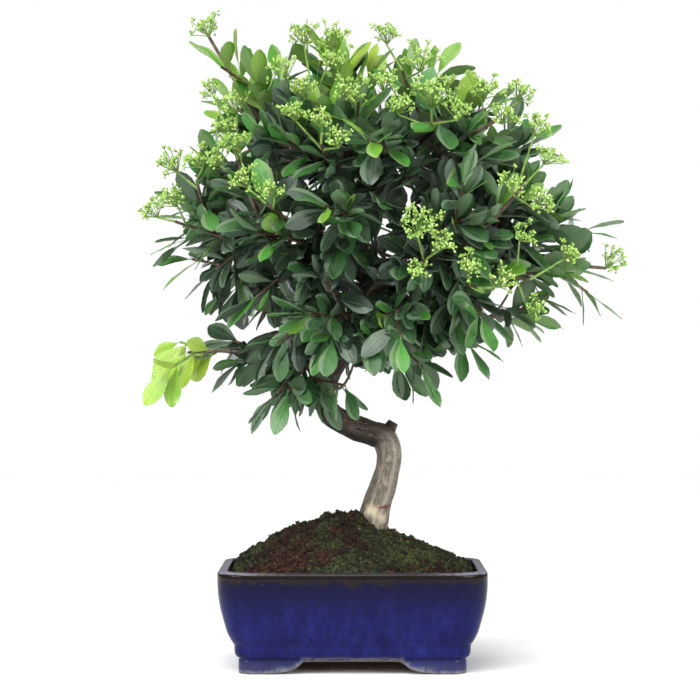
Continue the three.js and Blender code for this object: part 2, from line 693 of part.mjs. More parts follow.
// A leaf at a joint, drawn at random round its place, and turned off the face of the stem that it takes
function drawLeaf(joint, angle, draw) {
  const { place, along, normals, share } = joint;
  const atEnd = share === 1;
  const aim = leaving(joint, angle + 1.2 * (draw() - 0.5), atEnd ? 0.9 : 0.45)
    .addScaledVector(outwards(place), 0.35)
    .addScaledVector(UP, -droop(place.z) + 0.3 * (draw() - 0.5))
    .normalize();
  const [facet, facing] = atEnd ? [0, aim.dot(along)] : freeFace(joint, aim);
  if (facing < 0.5) aim.addScaledVector(atEnd ? along : normals[facet], 0.75 - facing).normalize();
  const face = outwards(place).multiplyScalar(0.6).addScaledVector(UP, 0.65);
  face.x += 0.7 * (draw() - 0.5);
  face.y += 0.7 * (draw() - 0.5);
  face.addScaledVector(aim, -face.dot(aim)).normalize();
  const length = between(...LEAF.length)(draw());
  const half = (length * between(...LEAF.widthShare)(draw())) / 2;
  const curl = 0.16 * draw();
  return { root: place, aim, face, edge: new THREE.Vector3().crossVectors(aim, face), length, half, curl, facet };
}

// A place on a leaf: a share of its length out, bent away from its face, and a distance across
function onLeaf(leaf, share, sideways) {
  return leaf.root.clone()
    .addScaledVector(leaf.aim, share * leaf.length)
    .addScaledVector(leaf.face, -leaf.curl * leaf.length * share * share)
    .addScaledVector(leaf.edge, sideways);
}

function leafBeads(leaf) {
  return LEAF.beadShares.flatMap(([share, wide]) => (wide > 0 ? [-1, 0, 1] : [0]).map((side) => {
    const { x, y, z } = onLeaf(leaf, share, side * wide * leaf.half);
    return [x, y, z, LEAF.beadRadius];
  }));
}

// A leaf's skin from an opening of four points: sections with an upper ridge, two edges and a keel, then the tip.
// Both of its faces are split into triangles alike.
function growLeaf(skin, opening, leaf) {
  const section = ([share, wide]) => [
    onLeaf(leaf, share, 0).addScaledVector(leaf.face, LEAF.thick * 0.35),
    onLeaf(leaf, share, wide * leaf.half),
    onLeaf(leaf, share, 0).addScaledVector(leaf.face, -LEAF.thick * 0.65),
    onLeaf(leaf, share, -wide * leaf.half),
  ];
  const [points, turn] = skin.matched(opening, section(LEAF.sections[0]));
  const near = skin.sides(opening, skin.ring(points));
  const inTurn = near.map((_, k) => near[(k + 4 - turn) % 4]);
  const far = skin.sides(inTurn, skin.ring(section(LEAF.sections[1])), [1, 3]);
  skin.peak(far, onLeaf(leaf, 1, 0));
}

function growLeaves(joint, count, name, draw) {
  for (let k = 0; k < count; k++) {
    for (let attempt = 0; attempt < TUFT.tries; attempt++) {
      const leaf = drawLeaf(joint, 2.4 * k + 1.7 * attempt, draw);
      const list = leafBeads(leaf);
      if (isClear(list, name, { ownGap: -0.6 })) {
        claim(list, name);
        joint.held.set(leaf.facet, (skin, opening) => growLeaf(skin, opening, leaf));
        break;
      }
    }
  }
}

// Grows a tuft's main shoot and its side shoots
function growTuft([name, tip], index) {
  const draw = seeded(SEED + index);
  const end = v3(tip);
  end.addScaledVector(outwards(end), -TUFT.leafReach);
  const way = growTwig(end, between(...TUFT.radii), name);
  const main = makeShoot(way.curve, TUFT.radii, TUFT.joints.map(({ share }) => share));
  const sides = [];
  main.joints.forEach((joint, order) => {
    if (!TUFT.joints[order].shoots) return;
    for (let attempt = 0; attempt < TUFT.tries; attempt++) {
      const aim = leaving(joint, TURN * draw(), 0.4).addScaledVector(outwards(joint.place), 0.4).normalize();
      const [facet, facing] = freeFace(joint, aim);
      if (facing < 0.5) aim.addScaledVector(joint.normals[facet], 0.75 - facing).normalize();
      const to = joint.place.clone().addScaledVector(aim, between(...TUFT.sideLength)(draw()));
      const curve = new THREE.LineCurve3(joint.place, to);
      const list = stemBeads(curve, between(...TUFT.sideRadii), curve.getLength());
      if (isClear(list, name)) {
        claim(list, name);
        const side = makeShoot(curve, TUFT.sideRadii, TUFT.sideJoints.map(({ share }) => share));
        joint.held.set(facet, (skin, opening) => skinShoot(skin, opening, side));
        sides.push(side);
        break;
      }
    }
  });
  return { name, draw, main, sides };
}

function leafTuft({ name, draw, main, sides }) {
  for (const [shoot, plan] of [[main, TUFT.joints], ...sides.map((side) => [side, TUFT.sideJoints])]) {
    growLeaves(shoot.end, 1, name, draw);
    shoot.joints.forEach((joint, order) => growLeaves(joint, plan[order].leaves, name, draw));
  }
}

// Materials, by colour, roughness and metalness

const finish = (color, roughness) => new THREE.MeshStandardMaterial({ color, roughness, metalness: 0 });
const GLAZE = finish('#20246a', 0.12);
const PLASTIC = finish('#2a2a28', 0.6);
const EARTH = finish('#3a2a20', 0.95);
const BARK = finish('#6b5a4a', 0.8);
const LEAF_GREEN = finish('#2f5a2c', 0.4);
const YOUNG_LEAF = finish('#8fcf2e', 0.4);
const BUD_GREEN = finish('#a9cf5a', 0.6);

const tree = new THREE.Group();

function place(name, manifold, material) {
  const mesh = new THREE.Mesh(geometryOf(manifold), material);
  mesh.name = name;
  tree.add(mesh);
}

place('pot', makePot(), GLAZE);
place('drain_mesh_left', makeDrainMesh(-DRAIN.x), PLASTIC);
place('drain_mesh_right', makeDrainMesh(DRAIN.x), PLASTIC);
place('soil', makeSoil(), EARTH);
place('trunk', makeTrunk(), BARK);
for (const { name, shoot } of budTwigs.map(growBudTwig)) place(name, skinOf(shoot), BUD_GREEN);
const tufts = TUFTS.map(growTuft);
tufts.forEach(leafTuft);
for (const { name, main } of tufts) place(name, skinOf(main), name === 'tuft_lime_left' ? YOUNG_LEAF : LEAF_GREEN);

// The origin is under the middle of the whole tree's box
const box = new THREE.Box3().setFromObject(tree);
const middle = box.getCenter(new THREE.Vector3());
tree.position.set(-middle.x, -middle.y, -box.min.z);

const part = new THREE.Group();
part.add(tree);

export default part;
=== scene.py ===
"""Looks of a firethorn bonsai in bud: bark, leaves, flower buds, mossy earth and a cobalt glazed pot.

Everything that grows, and the pot and the earth too, is a loft: rings of points, one after another, with a
closed face at both ends. Lengths are in millimetres, measured from the middle of the pot at floor level;
mesh_object turns them into metres in the frame of the solids.
"""

import math

import bpy
import mathutils
import numpy as np
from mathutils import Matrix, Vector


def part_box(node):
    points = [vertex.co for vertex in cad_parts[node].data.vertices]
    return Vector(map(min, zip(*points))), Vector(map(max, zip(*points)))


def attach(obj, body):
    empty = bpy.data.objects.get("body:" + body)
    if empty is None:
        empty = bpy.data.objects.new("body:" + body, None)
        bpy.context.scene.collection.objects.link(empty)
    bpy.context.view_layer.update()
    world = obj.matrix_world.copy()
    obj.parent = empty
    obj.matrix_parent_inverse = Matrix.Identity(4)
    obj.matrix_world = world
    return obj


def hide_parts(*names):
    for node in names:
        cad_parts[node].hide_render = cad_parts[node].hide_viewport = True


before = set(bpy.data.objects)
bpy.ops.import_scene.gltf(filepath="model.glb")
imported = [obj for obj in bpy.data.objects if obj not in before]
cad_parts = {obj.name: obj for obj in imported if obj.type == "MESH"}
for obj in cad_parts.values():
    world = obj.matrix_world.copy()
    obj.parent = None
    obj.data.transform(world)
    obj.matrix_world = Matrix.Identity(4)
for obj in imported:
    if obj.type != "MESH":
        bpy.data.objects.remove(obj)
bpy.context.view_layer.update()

MM = 0.001
SEED = 3784
TUFT_SEED = SEED + 100
BUD_SEED = SEED + 300
SPRAY_SEED = SEED + 1
CRUMB_SEED = SEED + 7
MOSS_SEED = SEED + 9
TURN = 2 * math.pi
GOLDEN = math.pi * (3 - math.sqrt(5))
UP = np.array([0.0, 0.0, 1.0])

pot_low, pot_high = (np.array(corner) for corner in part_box("pot"))
POT_CENTRE = np.array([(pot_low[0] + pot_high[0]) / 2, (pot_low[1] + pot_high[1]) / 2, pot_low[2]])


# Vectors and noise


def unit(vectors):
    """Each vector over its own length."""
    vectors = np.asarray(vectors, float)
    return vectors / np.maximum(np.linalg.norm(vectors, axis=-1, keepdims=True), 1e-12)


def dot(a, b):
    """The sum of products over the last axis, kept as an axis of one."""
    return np.sum(a * b, axis=-1, keepdims=True)


def lattice(cells, seed):
    """A number from 0 to 1 for each whole cell: the sine of a mix of its three indices, times a large
    number, of which only the part after the point is kept."""
    mix = cells[..., 0] * 127.1 + cells[..., 1] * 311.7 + cells[..., 2] * 74.7 + seed * 19.19
    return np.modf(np.abs(np.sin(mix) * 43758.5453))[0]


def noise(points, size, seed=0):
    """Smooth noise from -1 to 1 with lumps of one size: the lattice numbers at a cell's eight corners,
    blended by 3 f squared - 2 f cubed of the place in the cell."""
    places = np.asarray(points, float) / size
    cell = np.floor(places)
    share = places - cell
    share = share * share * (3 - 2 * share)
    total = 0
    for corner in np.ndindex(2, 2, 2):
        weight = np.prod(np.where(np.array(corner), share, 1 - share), axis=-1)
        total = total + weight * lattice(cell + np.array(corner), seed)
    return 2 * total - 1


def rough(points, size, octaves, seed=0):
    """Noise of halving size and halving strength, added up."""
    return sum(noise(points, size / 2**k, seed + k) / 2**k for k in range(octaves))


# Meshes


def loft_faces(count, steps, sides):
    """Corner lists of the faces of many lofts alike. A ring's point k joins its next point and the same two
    points of the next ring; the first ring is closed backwards and the last forwards."""
    point = np.arange(count * steps * sides).reshape(count, steps, sides)
    after = np.roll(point, -1, axis=2)
    quads = np.stack([point[:, :-1], after[:, :-1], after[:, 1:], point[:, 1:]], axis=-1)
    return quads.reshape(-1, 4), point[:, 0, ::-1].reshape(-1, sides), point[:, -1].reshape(-1, sides)


class Part:
    """Lofts alike, as an array of rings (count, steps, sides, 3), with the number of their material. Values
    hold one number a loft, side_values one a side of the ring, uv one pair a point, and ring_materials the
    material's number for each band between two rings."""

    def __init__(self, rings, material=0, values=None, side_values=None, uv=None, ring_materials=None):
        self.rings = np.asarray(rings, float)
        self.material = material
        self.values = values or {}
        self.side_values = side_values or {}
        self.uv = uv
        self.ring_materials = ring_materials


def put(name, data):
    """An object of its own for a mesh, a light or a camera, in the scene."""
    thing = bpy.data.objects.new(name, data)
    bpy.context.scene.collection.objects.link(thing)
    return thing


def write_attribute(mesh, name, values, domain="POINT"):
    """A number, or a vector of three, for each point or face of a mesh."""
    values = np.asarray(values, np.float32)
    kind, field = ("FLOAT", "value") if values.ndim == 1 else ("FLOAT_VECTOR", "vector")
    mesh.attributes.new(name, kind, domain).data.foreach_set(field, values.ravel())


def mesh_object(name, parts, materials, attributes=(), sharp=50.0):
    """One mesh object of all the parts, riding on the body that the whole tree is. Quads come first in each
    part, then its near and far ends; an attribute is written face by face."""
    points, loops, sizes, material_of, uvs = [], [], [], [], []
    written = {attribute: [] for attribute in attributes}
    first = 0
    for part in parts:
        count, steps, sides, _ = part.rings.shape
        groups = loft_faces(count, steps, sides)
        points.append(part.rings.reshape(-1, 3))
        uvs.append(np.zeros((count * steps * sides, 2)) if part.uv is None else part.uv.reshape(-1, 2))
        for order, faces in enumerate(groups):
            loops.append((faces + first).ravel())
            sizes.append(np.full(len(faces), faces.shape[1]))
            if part.ring_materials is not None and order == 0:
                material_of.append(np.tile(np.repeat(part.ring_materials, sides), count))
            elif part.ring_materials is not None:
                material_of.append(np.full(len(faces), part.ring_materials[0 if order == 1 else -1]))
            else:
                material_of.append(np.full(len(faces), part.material))
            each = len(faces) // count
            for attribute in attributes:
                if attribute in part.side_values:
                    by_side = part.side_values[attribute]
                    value = np.tile(by_side, count * (steps - 1)) if order == 0 else np.zeros(len(faces))
                else:
                    value = np.repeat(np.broadcast_to(part.values.get(attribute, 0.0), count), each)
                written[attribute].append(value)
        first += count * steps * sides
    sizes = np.concatenate(sizes)
    loops = np.concatenate(loops)
    mesh = bpy.data.meshes.new(name)
    mesh.vertices.add(first)
    mesh.vertices.foreach_set("co", (np.concatenate(points) * MM + POT_CENTRE).astype(np.float32).ravel())
    mesh.loops.add(len(loops))
    mesh.loops.foreach_set("vertex_index", loops.astype(np.int32))
    mesh.polygons.add(len(sizes))
    mesh.polygons.foreach_set("loop_start", np.concatenate([[0], np.cumsum(sizes)[:-1]]).astype(np.int32))
    mesh.polygons.foreach_set("material_index", np.concatenate(material_of).astype(np.int32))
    mesh.update(calc_edges=True)
    surface_map = mesh.uv_layers.new(name="surface")
    surface_map.data.foreach_set("uv", np.concatenate(uvs)[loops].astype(np.float32).ravel())
    for attribute, values in written.items():
        write_attribute(mesh, attribute, np.concatenate(values), "FACE")
    for material in materials:
        mesh.materials.append(material)
    mesh.shade_smooth()
    mesh.set_sharp_from_angle(angle=math.radians(sharp))
    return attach(put(name, mesh), "root")


def own_points(thing):
    """A mesh's points in the pot's own millimetres."""
    co = np.zeros(len(thing.data.vertices) * 3, np.float32)
    thing.data.vertices.foreach_get("co", co)
    return (co.reshape(-1, 3) - POT_CENTRE) / MM


# Curves


class Curve:
    """A line in space as a function of a share of its way, for whole arrays of shares."""

    def __init__(self, at):
        self.at = at

    def tangent(self, share):
        """The way that it goes: from just before the share to just after it."""
        share = np.asarray(share, float)
        return unit(self.at(np.minimum(share + 1e-4, 1.0)) - self.at(np.maximum(share - 1e-4, 0.0)))

    def way(self):
        """From its start straight to its end."""
        return self.at(np.array(1.0)) - self.at(np.array(0.0))

    def length(self):
        """The sum of two hundred straight steps."""
        return np.linalg.norm(np.diff(self.at(np.linspace(0, 1, 201)), axis=0), axis=1).sum()


def smooth(points):
    """A Catmull-Rom curve: a cubic between each two points whose slope at a point is half the step between
    its neighbours. The ends have a mirrored neighbour."""
    points = np.asarray(points, float)
    padded = np.vstack([2 * points[0] - points[1], points, 2 * points[-1] - points[-2]])
    last = len(points) - 2

    def at(share):
        place = np.asarray(share, float) * (last + 1)
        piece = np.minimum(np.floor(place).astype(int), last)
        f = (place - piece)[..., None]
        before, start, end, after = (padded[piece + k] for k in range(4))
        leave = 0.5 * (end - before)
        arrive = 0.5 * (after - start)
        return (start + leave * f + (3 * (end - start) - 2 * leave - arrive) * f**2
                + (2 * (start - end) + leave + arrive) * f**3)

    return Curve(at)


def arc(start, bend, end):
    """A quadratic Bezier curve: the three points weighted by (1 - f) squared, 2 f (1 - f) and f squared."""
    start, bend, end = (np.asarray(p, float) for p in (start, bend, end))

    def at(share):
        f = np.asarray(share, float)[..., None]
        return start * (1 - f) ** 2 + bend * 2 * f * (1 - f) + end * f**2

    return Curve(at)


def line(start, end):
    """A straight way."""
    return arc(start, (np.asarray(start) + np.asarray(end)) / 2, end)


def across(direction, way):
    """Two unit vectors square to a direction, turned from the axis that lies furthest from the whole way."""
    axis = np.eye(3)[int(np.argmin(np.abs(way)))]
    side = unit(np.cross(direction, axis))
    return side, unit(np.cross(direction, side))


def rays(side, lift, sides):
    """Unit vectors round a ring: side cos a plus lift sin a, for each pair of side and lift."""
    angle = np.arange(sides) * TURN / sides
    return side[..., None, :] * np.cos(angle)[:, None] + lift[..., None, :] * np.sin(angle)[:, None]


def between(low, high):
    """The straight blend from one number to another."""
    return lambda share: low + (high - low) * share


def with_collar(radius_at, growth, fade):
    """A radius that grows by a share towards the start, where a stem leaves another: by growth times the
    exponential of minus fade times the way."""
    return lambda share: radius_at(share) * (1 + growth * np.exp(-share * fade))


def tube(curve, radius_at, sides, steps, relief=None):
    """Rings round a curve: its point, plus radius times side cos a plus lift sin a. Relief adds to the
    radius, as a function of the bare points."""
    share = np.linspace(0, 1, steps + 1)
    ray = rays(*across(curve.tangent(share), curve.way()), sides)
    radius = np.broadcast_to(radius_at(share), share.shape)[:, None, None]
    points = curve.at(share)[:, None] + ray * radius
    if relief is not None:
        points = points + ray * relief(points)[..., None]
    return points[None]


# The tree's plan, as in the solids: the trunk with the radius at each point, and the limbs, each from a
# place on the trunk through its points, with the radius at both ends

TRUNK = [
    [6, 0, 56, 8], [10, 0, 84, 12.5], [14.8, 0, 106, 11.8], [19.7, 0, 124, 10.6], [23.5, 0, 135.7, 10],
    [27, 0, 150, 9.6], [27.4, 0, 161.5, 9.5], [23, 0, 171.5, 9.6], [12, 0, 175.8, 9.5],
    [-1.1, 0, 180.8, 9.4], [-14.5, 0, 187.5, 9.1], [-20.6, 0, 197.5, 8.2], [-19.3, 0, 211.5, 7.2],
    [-11, 1, 227.4, 6.7], [-0.4, 3, 240.3, 6.3], [9.5, 5, 257, 5.7], [13.3, 5, 283.5, 5],
    [7.2, 3, 321.4, 4.3], [9.5, 1, 359, 3.5], [-0.4, 0, 397, 2.8], [-5, -2, 428, 2.1],
]
STUB = ([24, 0, 171], [31, 0, 183.5], 4.2)
ROOTS = [
    [[10, 0, 92], [-6, -8, 84], [-26, -16, 66]],
    [[10, 0, 90], [28, -10, 78], [48, -18, 60]],
    [[10, 0, 88], [22, 14, 76], [34, 32, 58]],
    [[10, 0, 91], [-4, 12, 80], [-20, 28, 62]],
]
ROOT_RADII = (6, 2.5)
LIMBS = [
    (12.6, [[-31, -5, 235], [-44, -7, 237], [-63, -8, 234], [-92, -9, 237]], (4, 2)),
    (10.7, [[-38, 5, 205], [-50, 14, 220], [-66, 34, 240]], (5.2, 2.2)),
    (14.2, [[33, -3, 250.5], [66, -5, 257], [100, -6, 262]], (3.6, 1.9)),
    (14.6, [[0, -28, 252], [-4, -62, 262]], (3.2, 1.8)),
    (14.8, [[6, 36, 252], [8, 72, 264]], (3.2, 1.8)),
    (15.9, [[-30, -4, 300], [-62, -8, 312], [-92, -6, 324]], (3.6, 2)),
    (16.2, [[-20, -32, 303], [-52, -68, 315]], (3.2, 1.8)),
    (16.0, [[55, 2, 300], [98, 0, 303], [140, -4, 303]], (3.8, 1.9)),
    (16.4, [[40, -36, 308], [74, -76, 312]], (3.2, 1.8)),
    (16.3, [[45, 34, 305], [88, 66, 318]], (3.2, 1.8)),
    (16.5, [[-20, 36, 308], [-56, 66, 322]], (3.2, 1.8)),
    (17.6, [[-30, -2, 372], [-62, -4, 402], [-80, -5, 428]], (3.2, 1.8)),
    (17.7, [[0, -36, 362], [-4, -72, 378]], (2.8, 1.8)),
    (18.0, [[38, -36, 382], [62, -58, 402]], (2.8, 1.8)),
    (17.9, [[50, 6, 375], [84, 10, 388], [112, 10, 398]], (3, 1.8)),
    (18.1, [[4, 38, 380], [8, 70, 396]], (2.8, 1.8)),
]
# Flower heads by their middle and radius, one list for each twig
BUD_TWIGS = {
    "buds_top_left": [[-111, -6, 482, 11]],
    "buds_upper_left_front": [
        [-105, -38, 431, 8], [-87, -78, 416, 10], [-93, -84, 401, 9], [-84, -95, 388, 10],
        [-99, -88, 377, 9]],
    "buds_left_shoulder": [[-134, -43, 376, 11], [-113, -74, 377, 10]],
    "buds_left": [[-134, -50, 350, 11], [-150, -26, 342, 9]],
    "buds_left_front": [[-78, -109, 360, 10], [-58, -118, 351, 9]],
    "buds_top_front_left": [
        [-50, -86, 441, 10], [-35, -99, 426, 10], [-37, -54, 470, 10], [-14, -66, 466, 10]],
    "buds_top_front": [[-12, -91, 447, 10], [-1, -112, 423, 13], [22, -106, 430, 10]],
    "buds_upper_front": [[-42, -110, 408, 10], [-23, -118, 402, 9], [-11, -125, 388, 10]],
    "buds_top_right": [[25, -74, 467, 9], [49, -93, 447, 12]],
    "buds_upper_front_right": [[33, -117, 413, 11], [58, -109, 423, 17], [76, -114, 408, 9]],
    "buds_upper_right": [[95, -97, 426, 12], [110, -98, 408, 11], [122, -80, 425, 10]],
    "buds_right_shoulder": [
        [134, -88, 399, 10], [141, -92, 378, 10], [113, -116, 359, 9], [134, -105, 345, 10]],
    "buds_front": [[47, -135, 328, 14], [63, -131, 314, 10], [45, -129, 294, 8]],
    "buds_front_right_low": [[83, -122, 298, 9], [108, -110, 287, 9]],
    "buds_right": [[122, -110, 320, 8], [157, -82, 308, 8], [132, -84, 268, 8]],
    "buds_far_right": [[197, -4, 305, 10]],
    "buds_back_left": [[-98, 74, 404, 10], [-84, 92, 384, 10]],
    "buds_back": [[2, 124, 382, 10], [24, 128, 366, 10]],
    "buds_back_right": [[98, 92, 410, 11], [122, 80, 392, 10], [78, 104, 424, 9]],
}
# Leafy tufts, by the place that the outermost leaf of each reaches
TUFTS = {
    "tuft_lime_left": [-146, -12, 224], "tuft_low_left": [-128, 4, 296], "tuft_left": [-132, 18, 340],
    "tuft_left_shoulder": [-122, -14, 374], "tuft_upper_left": [-106, 6, 440],
    "tuft_top_left": [-88, -12, 457], "tuft_top_inner_left": [-42, 24, 460], "tuft_top": [-11, -10, 470],
    "tuft_top_right": [48, 8, 468],
    "tuft_upper_right": [88, -16, 436], "tuft_right_shoulder": [136, 14, 416],
    "tuft_right_upper": [142, -50, 364], "tuft_right": [177, 16, 340], "tuft_far_right": [190, -10, 296],
    "tuft_low_right_tip": [150, 4, 256], "tuft_low_right": [84, -14, 248], "tuft_low_middle": [38, -30, 230],
    "tuft_hanging_front": [-33, -28, 190], "tuft_hanging_left": [-58, -24, 208],
    "tuft_bottom_left": [-84, 10, 218], "tuft_front_upper_left": [-60, -100, 404],
    "tuft_front_upper_right": [28, -126, 402], "tuft_front_left": [-88, -108, 324],
    "tuft_front": [-10, -138, 334], "tuft_front_right": [92, -122, 334],
    "tuft_front_low_left": [-42, -110, 252], "tuft_front_low_right": [40, -118, 258],
    "tuft_right_front_low": [110, -90, 256], "tuft_right_front_upper": [104, -84, 392],
    "tuft_back_upper_left": [-50, 98, 420], "tuft_back_upper_right": [62, 106, 408],
    "tuft_back_left": [-96, 98, 326], "tuft_back": [4, 138, 330], "tuft_back_right": [110, 104, 326],
    "tuft_back_low_left": [-44, 98, 252], "tuft_back_low_right": [54, 104, 254],
}
# The crown's heart, which leaves and heads face away from
HEART = np.array([22.0, 0.0, 318.0])

trunk_points = np.array(TRUNK, float)
trunk_curve = smooth(trunk_points[:, :3])
trunk_size = smooth(np.column_stack([trunk_points[:, 3]] * 3))


def trunk_radius(share):
    """The smooth curve through the trunk's radii."""
    return trunk_size.at(share)[..., 0]


class Limb:
    """A curve that twigs leave, with its radius and the stretch of it that carries them."""

    def __init__(self, curve, radius_at, reach):
        self.curve = curve
        self.radius_at = radius_at
        self.reach = reach


limbs = [
    Limb(smooth([trunk_curve.at(np.array(knot / (len(TRUNK) - 1))), *via]), between(*radii), (0.4, 1))
    for knot, via, radii in LIMBS
]
leader = Limb(trunk_curve, trunk_radius, (0.56, 1))


# Growth, by the same rule and the same draws as the solids, so that the fine twigs and leaves lie in theirs

# The gap between pieces that meet, and the least one between the beads of pieces that don't and between the
# leaves of one piece
GAP = 0.35
CLEAR = 1.1
OWN_CLEAR = -0.6
BEAD_STEP = 3
# How far from its own start a twig may touch the trunk
SPARE_REACH = 9
SHORTEST_TWIG = 24
TWIG_BEND = 0.3
# How many steps there are along a limb between the places that twigs may leave from, and what a twig costs
# for its length when it leaves squarely, and how much less when it leaves forwards
LIMB_STEPS = 12
SQUARE_COST, FORWARD_SAVING = 1.6, 0.6
TWIG_RADII = (1.7, 1.2)
TWIG_JOINTS = (0.9, 0.76)
STALK_RADIUS = 0.9
FORK_BACK = 9
# As shares of a bud head's radius: how far its foot is below its middle, how far out the beads of its edge
# are, and the sizes of the middle's bead and the edge's
HEAD_DEPTH = 0.75
HEAD_EDGE = 0.62
HEAD_SIZES = (0.5, 0.44)
HEAD_BEADS = 6
# How much a bud head looks away from the crown's heart, and up
HEAD_OUT, HEAD_UP = 0.7, 0.7
TUFT_RADII = (1.8, 1.2)
SIDE_RADII = (1.2, 1.0)
MAIN_JOINTS = [(0.45, 1, 1), (0.66, 0, 1), (0.86, 1, 1)]
SIDE_JOINTS = [(0.8, 0, 2)]
SIDE_LENGTH = (24, 40)
# How far side shoots lean forwards, and how much they turn away from the heart
SHOOT_LEAN, SHOOT_OUT = 0.4, 0.4
LEAF_REACH = 25
TRIES = 14
# The least that a leaf or shoot faces the side of the stem that it leaves from
LEAST_FACING = 0.5
FACING_PULL = 0.75
# How far leaves lean forwards at a shoot's end and at its sides, and how much they turn away from the heart
END_LEAN, SIDE_LEAN = 0.9, 0.45
OUT_PULL = 0.35
# How much a leaf's face looks away from the heart, and up
FACE_OUT, FACE_UP = 0.6, 0.65
# How far chance turns a leaf round its stem, lifts it and turns its face
TURN_CHANCE, LIFT_CHANCE, FACE_CHANCE = 1.2, 0.3, 0.7
# The turn from one leaf to the next at a joint, and from one try to the next
NEXT_LEAF, NEXT_TRY = 2.4, 1.7
# Where leaves stand level, over how much height their hanging changes, and the least and the most of it
LEVEL_AT = 325
HANG_OVER = 130
HANG_ENDS = (-0.3, 0.85)
LEAF_LENGTH = (27, 38)
LEAF_WIDTH_SHARE = (0.33, 0.42)
LEAF_CURL = 0.16
# A leaf's beads: how far along the blade, and how far across it as a share of its half width
LEAF_BEADS = [(0.25, 0.4), (0.45, 0.8), (0.7, 1), (0.9, 0.7), (1, 0)]
LEAF_BEAD_RADIUS = 2.2


def seeded(seed):
    """The same stream of numbers from 0 to 1 for the same seed (the mulberry32 rule)."""
    mask = 0xFFFFFFFF
    state = seed & mask

    def draw():
        nonlocal state
        state = (state + 0x6D2B79F5) & mask
        mixed = ((state ^ (state >> 15)) * (state | 1)) & mask
        mixed ^= (mixed + (mixed ^ (mixed >> 7)) * (mixed | 61)) & mask
        return (mixed ^ (mixed >> 14)) / 4294967296

    return draw


class Room:
    """Beads that mark the space which pieces take up."""

    def __init__(self):
        self.rows = np.zeros((0, 4))
        self.owners = np.zeros(0, int)
        self.names = {}

    def number(self, piece):
        """A piece's own number."""
        return self.names.setdefault(piece, len(self.names))

    def claim(self, beads, piece):
        """Adds a piece's beads."""
        self.rows = np.vstack([self.rows, beads])
        self.owners = np.concatenate([self.owners, np.full(len(beads), self.number(piece))])

    def is_clear(self, beads, piece, own_gap=None, spare=None):
        """Whether each bead is further from every other piece's than both radii and the gap. With a gap of
        its own, a piece's own beads count too, and near a spare point the trunk's don't."""
        own = self.owners == self.number(piece)
        counted = ~own if own_gap is None else np.ones(len(own), bool)
        if spare is not None:
            near = np.linalg.norm(self.rows[:, :3] - spare, axis=1) < SPARE_REACH
            counted &= ~(near & (self.owners == self.number("trunk")))
        rows = self.rows[counted]
        gap = np.where(own[counted], own_gap or 0.0, CLEAR)
        away = np.sum((beads[:, None, :3] - rows[None, :, :3]) ** 2, axis=-1)
        reach = beads[:, None, 3] + rows[None, :, 3] + gap
        return bool(np.all(away >= reach * reach))


def stem_beads(curve, radius_at, length):
    """Beads along a stem, at most a bead step apart."""
    count = math.ceil(length / BEAD_STEP)
    share = np.arange(count + 1) / count
    return np.column_stack([curve.at(share), np.broadcast_to(radius_at(share), share.shape)])


def outwards(point):
    """The way from the crown's heart to a point."""
    return unit(np.asarray(point, float) - HEART)


def twig_from(limb, share, tip):
    """A twig to a tip: it leaves the limb's side squarely, or goes on from its end, and bends over."""
    place = limb.curve.at(np.array(share))
    along = limb.curve.tangent(np.array(share))
    aim = tip - place
    length = np.linalg.norm(aim)
    aim = aim / length
    turned = float(aim @ along)
    leave = along if share == 1 else unit(aim - along * turned)
    start = place + leave * (GAP if share == 1 else float(limb.radius_at(share)) + GAP)
    return {
        "place": place,
        "start": start,
        "curve": arc(start, start + leave * TWIG_BEND * length, tip),
        "length": length,
        "cost": length * (SQUARE_COST - FORWARD_SAVING * turned),
    }


def ways_to(tip):
    """Every way from a limb to a tip, the cheapest first: short, but with room for its joints, and leaving
    forwards."""
    ways = []
    for limb in [*limbs, leader]:
        low, high = limb.reach
        shares = [low + ((high - low) * step) / LIMB_STEPS for step in range(LIMB_STEPS + 1)]
        ways += [twig_from(limb, share, tip) for share in shares]
    return sorted([way for way in ways if way["length"] > SHORTEST_TWIG], key=lambda way: way["cost"])


def grow_twig(room, tip, radius_at, piece):
    """The cheapest way to a tip that keeps clear of all other pieces, or else the cheapest of all."""
    for way in ways_to(tip):
        beads = stem_beads(way["curve"], radius_at, way["length"])
        if room.is_clear(beads, piece, spare=way["start"]):
            room.claim(beads, piece)
            return way
    return ways_to(tip)[0]


class Joint:
    """A place on a stem where leaves and side shoots leave from four faces."""

    def __init__(self, curve, share):
        self.share = share
        self.place = curve.at(np.array(share))
        self.along = curve.tangent(np.array(share))
        self.side, self.lift = across(self.along, curve.way())
        turns = (TURN / 4) * np.array([0.5, 1.5, 2.5, 3.5])[:, None]
        self.normals = self.side * np.cos(turns) + self.lift * np.sin(turns)
        self.held = set()

    def free_face(self, aim):
        """The free face that looks most nearly along a direction, and how nearly."""
        facing = [-2.0 if k in self.held else float(self.normals[k] @ aim) for k in range(4)]
        best = max(facing)
        return facing.index(best), best

    def leaving(self, angle, forwards):
        """A unit vector at an angle round the stem, leaning forwards by a share."""
        ray = self.side * math.cos(angle) + self.lift * math.sin(angle)
        return unit(ray * (1 - forwards) + self.along * forwards)


class Shoot:
    """A stem with joints; plans give each joint's share, side shoots and leaves."""

    def __init__(self, curve, radii, plans):
        self.curve = curve
        self.radii = radii
        self.plans = plans
        self.joints = [Joint(curve, share) for share, _, _ in plans]
        self.end = Joint(curve, 1)


def droop(height):
    """How far leaves hang for the height of their root: down in the low crown, a little up at the top."""
    return np.clip((LEVEL_AT - height) / HANG_OVER, *HANG_ENDS)


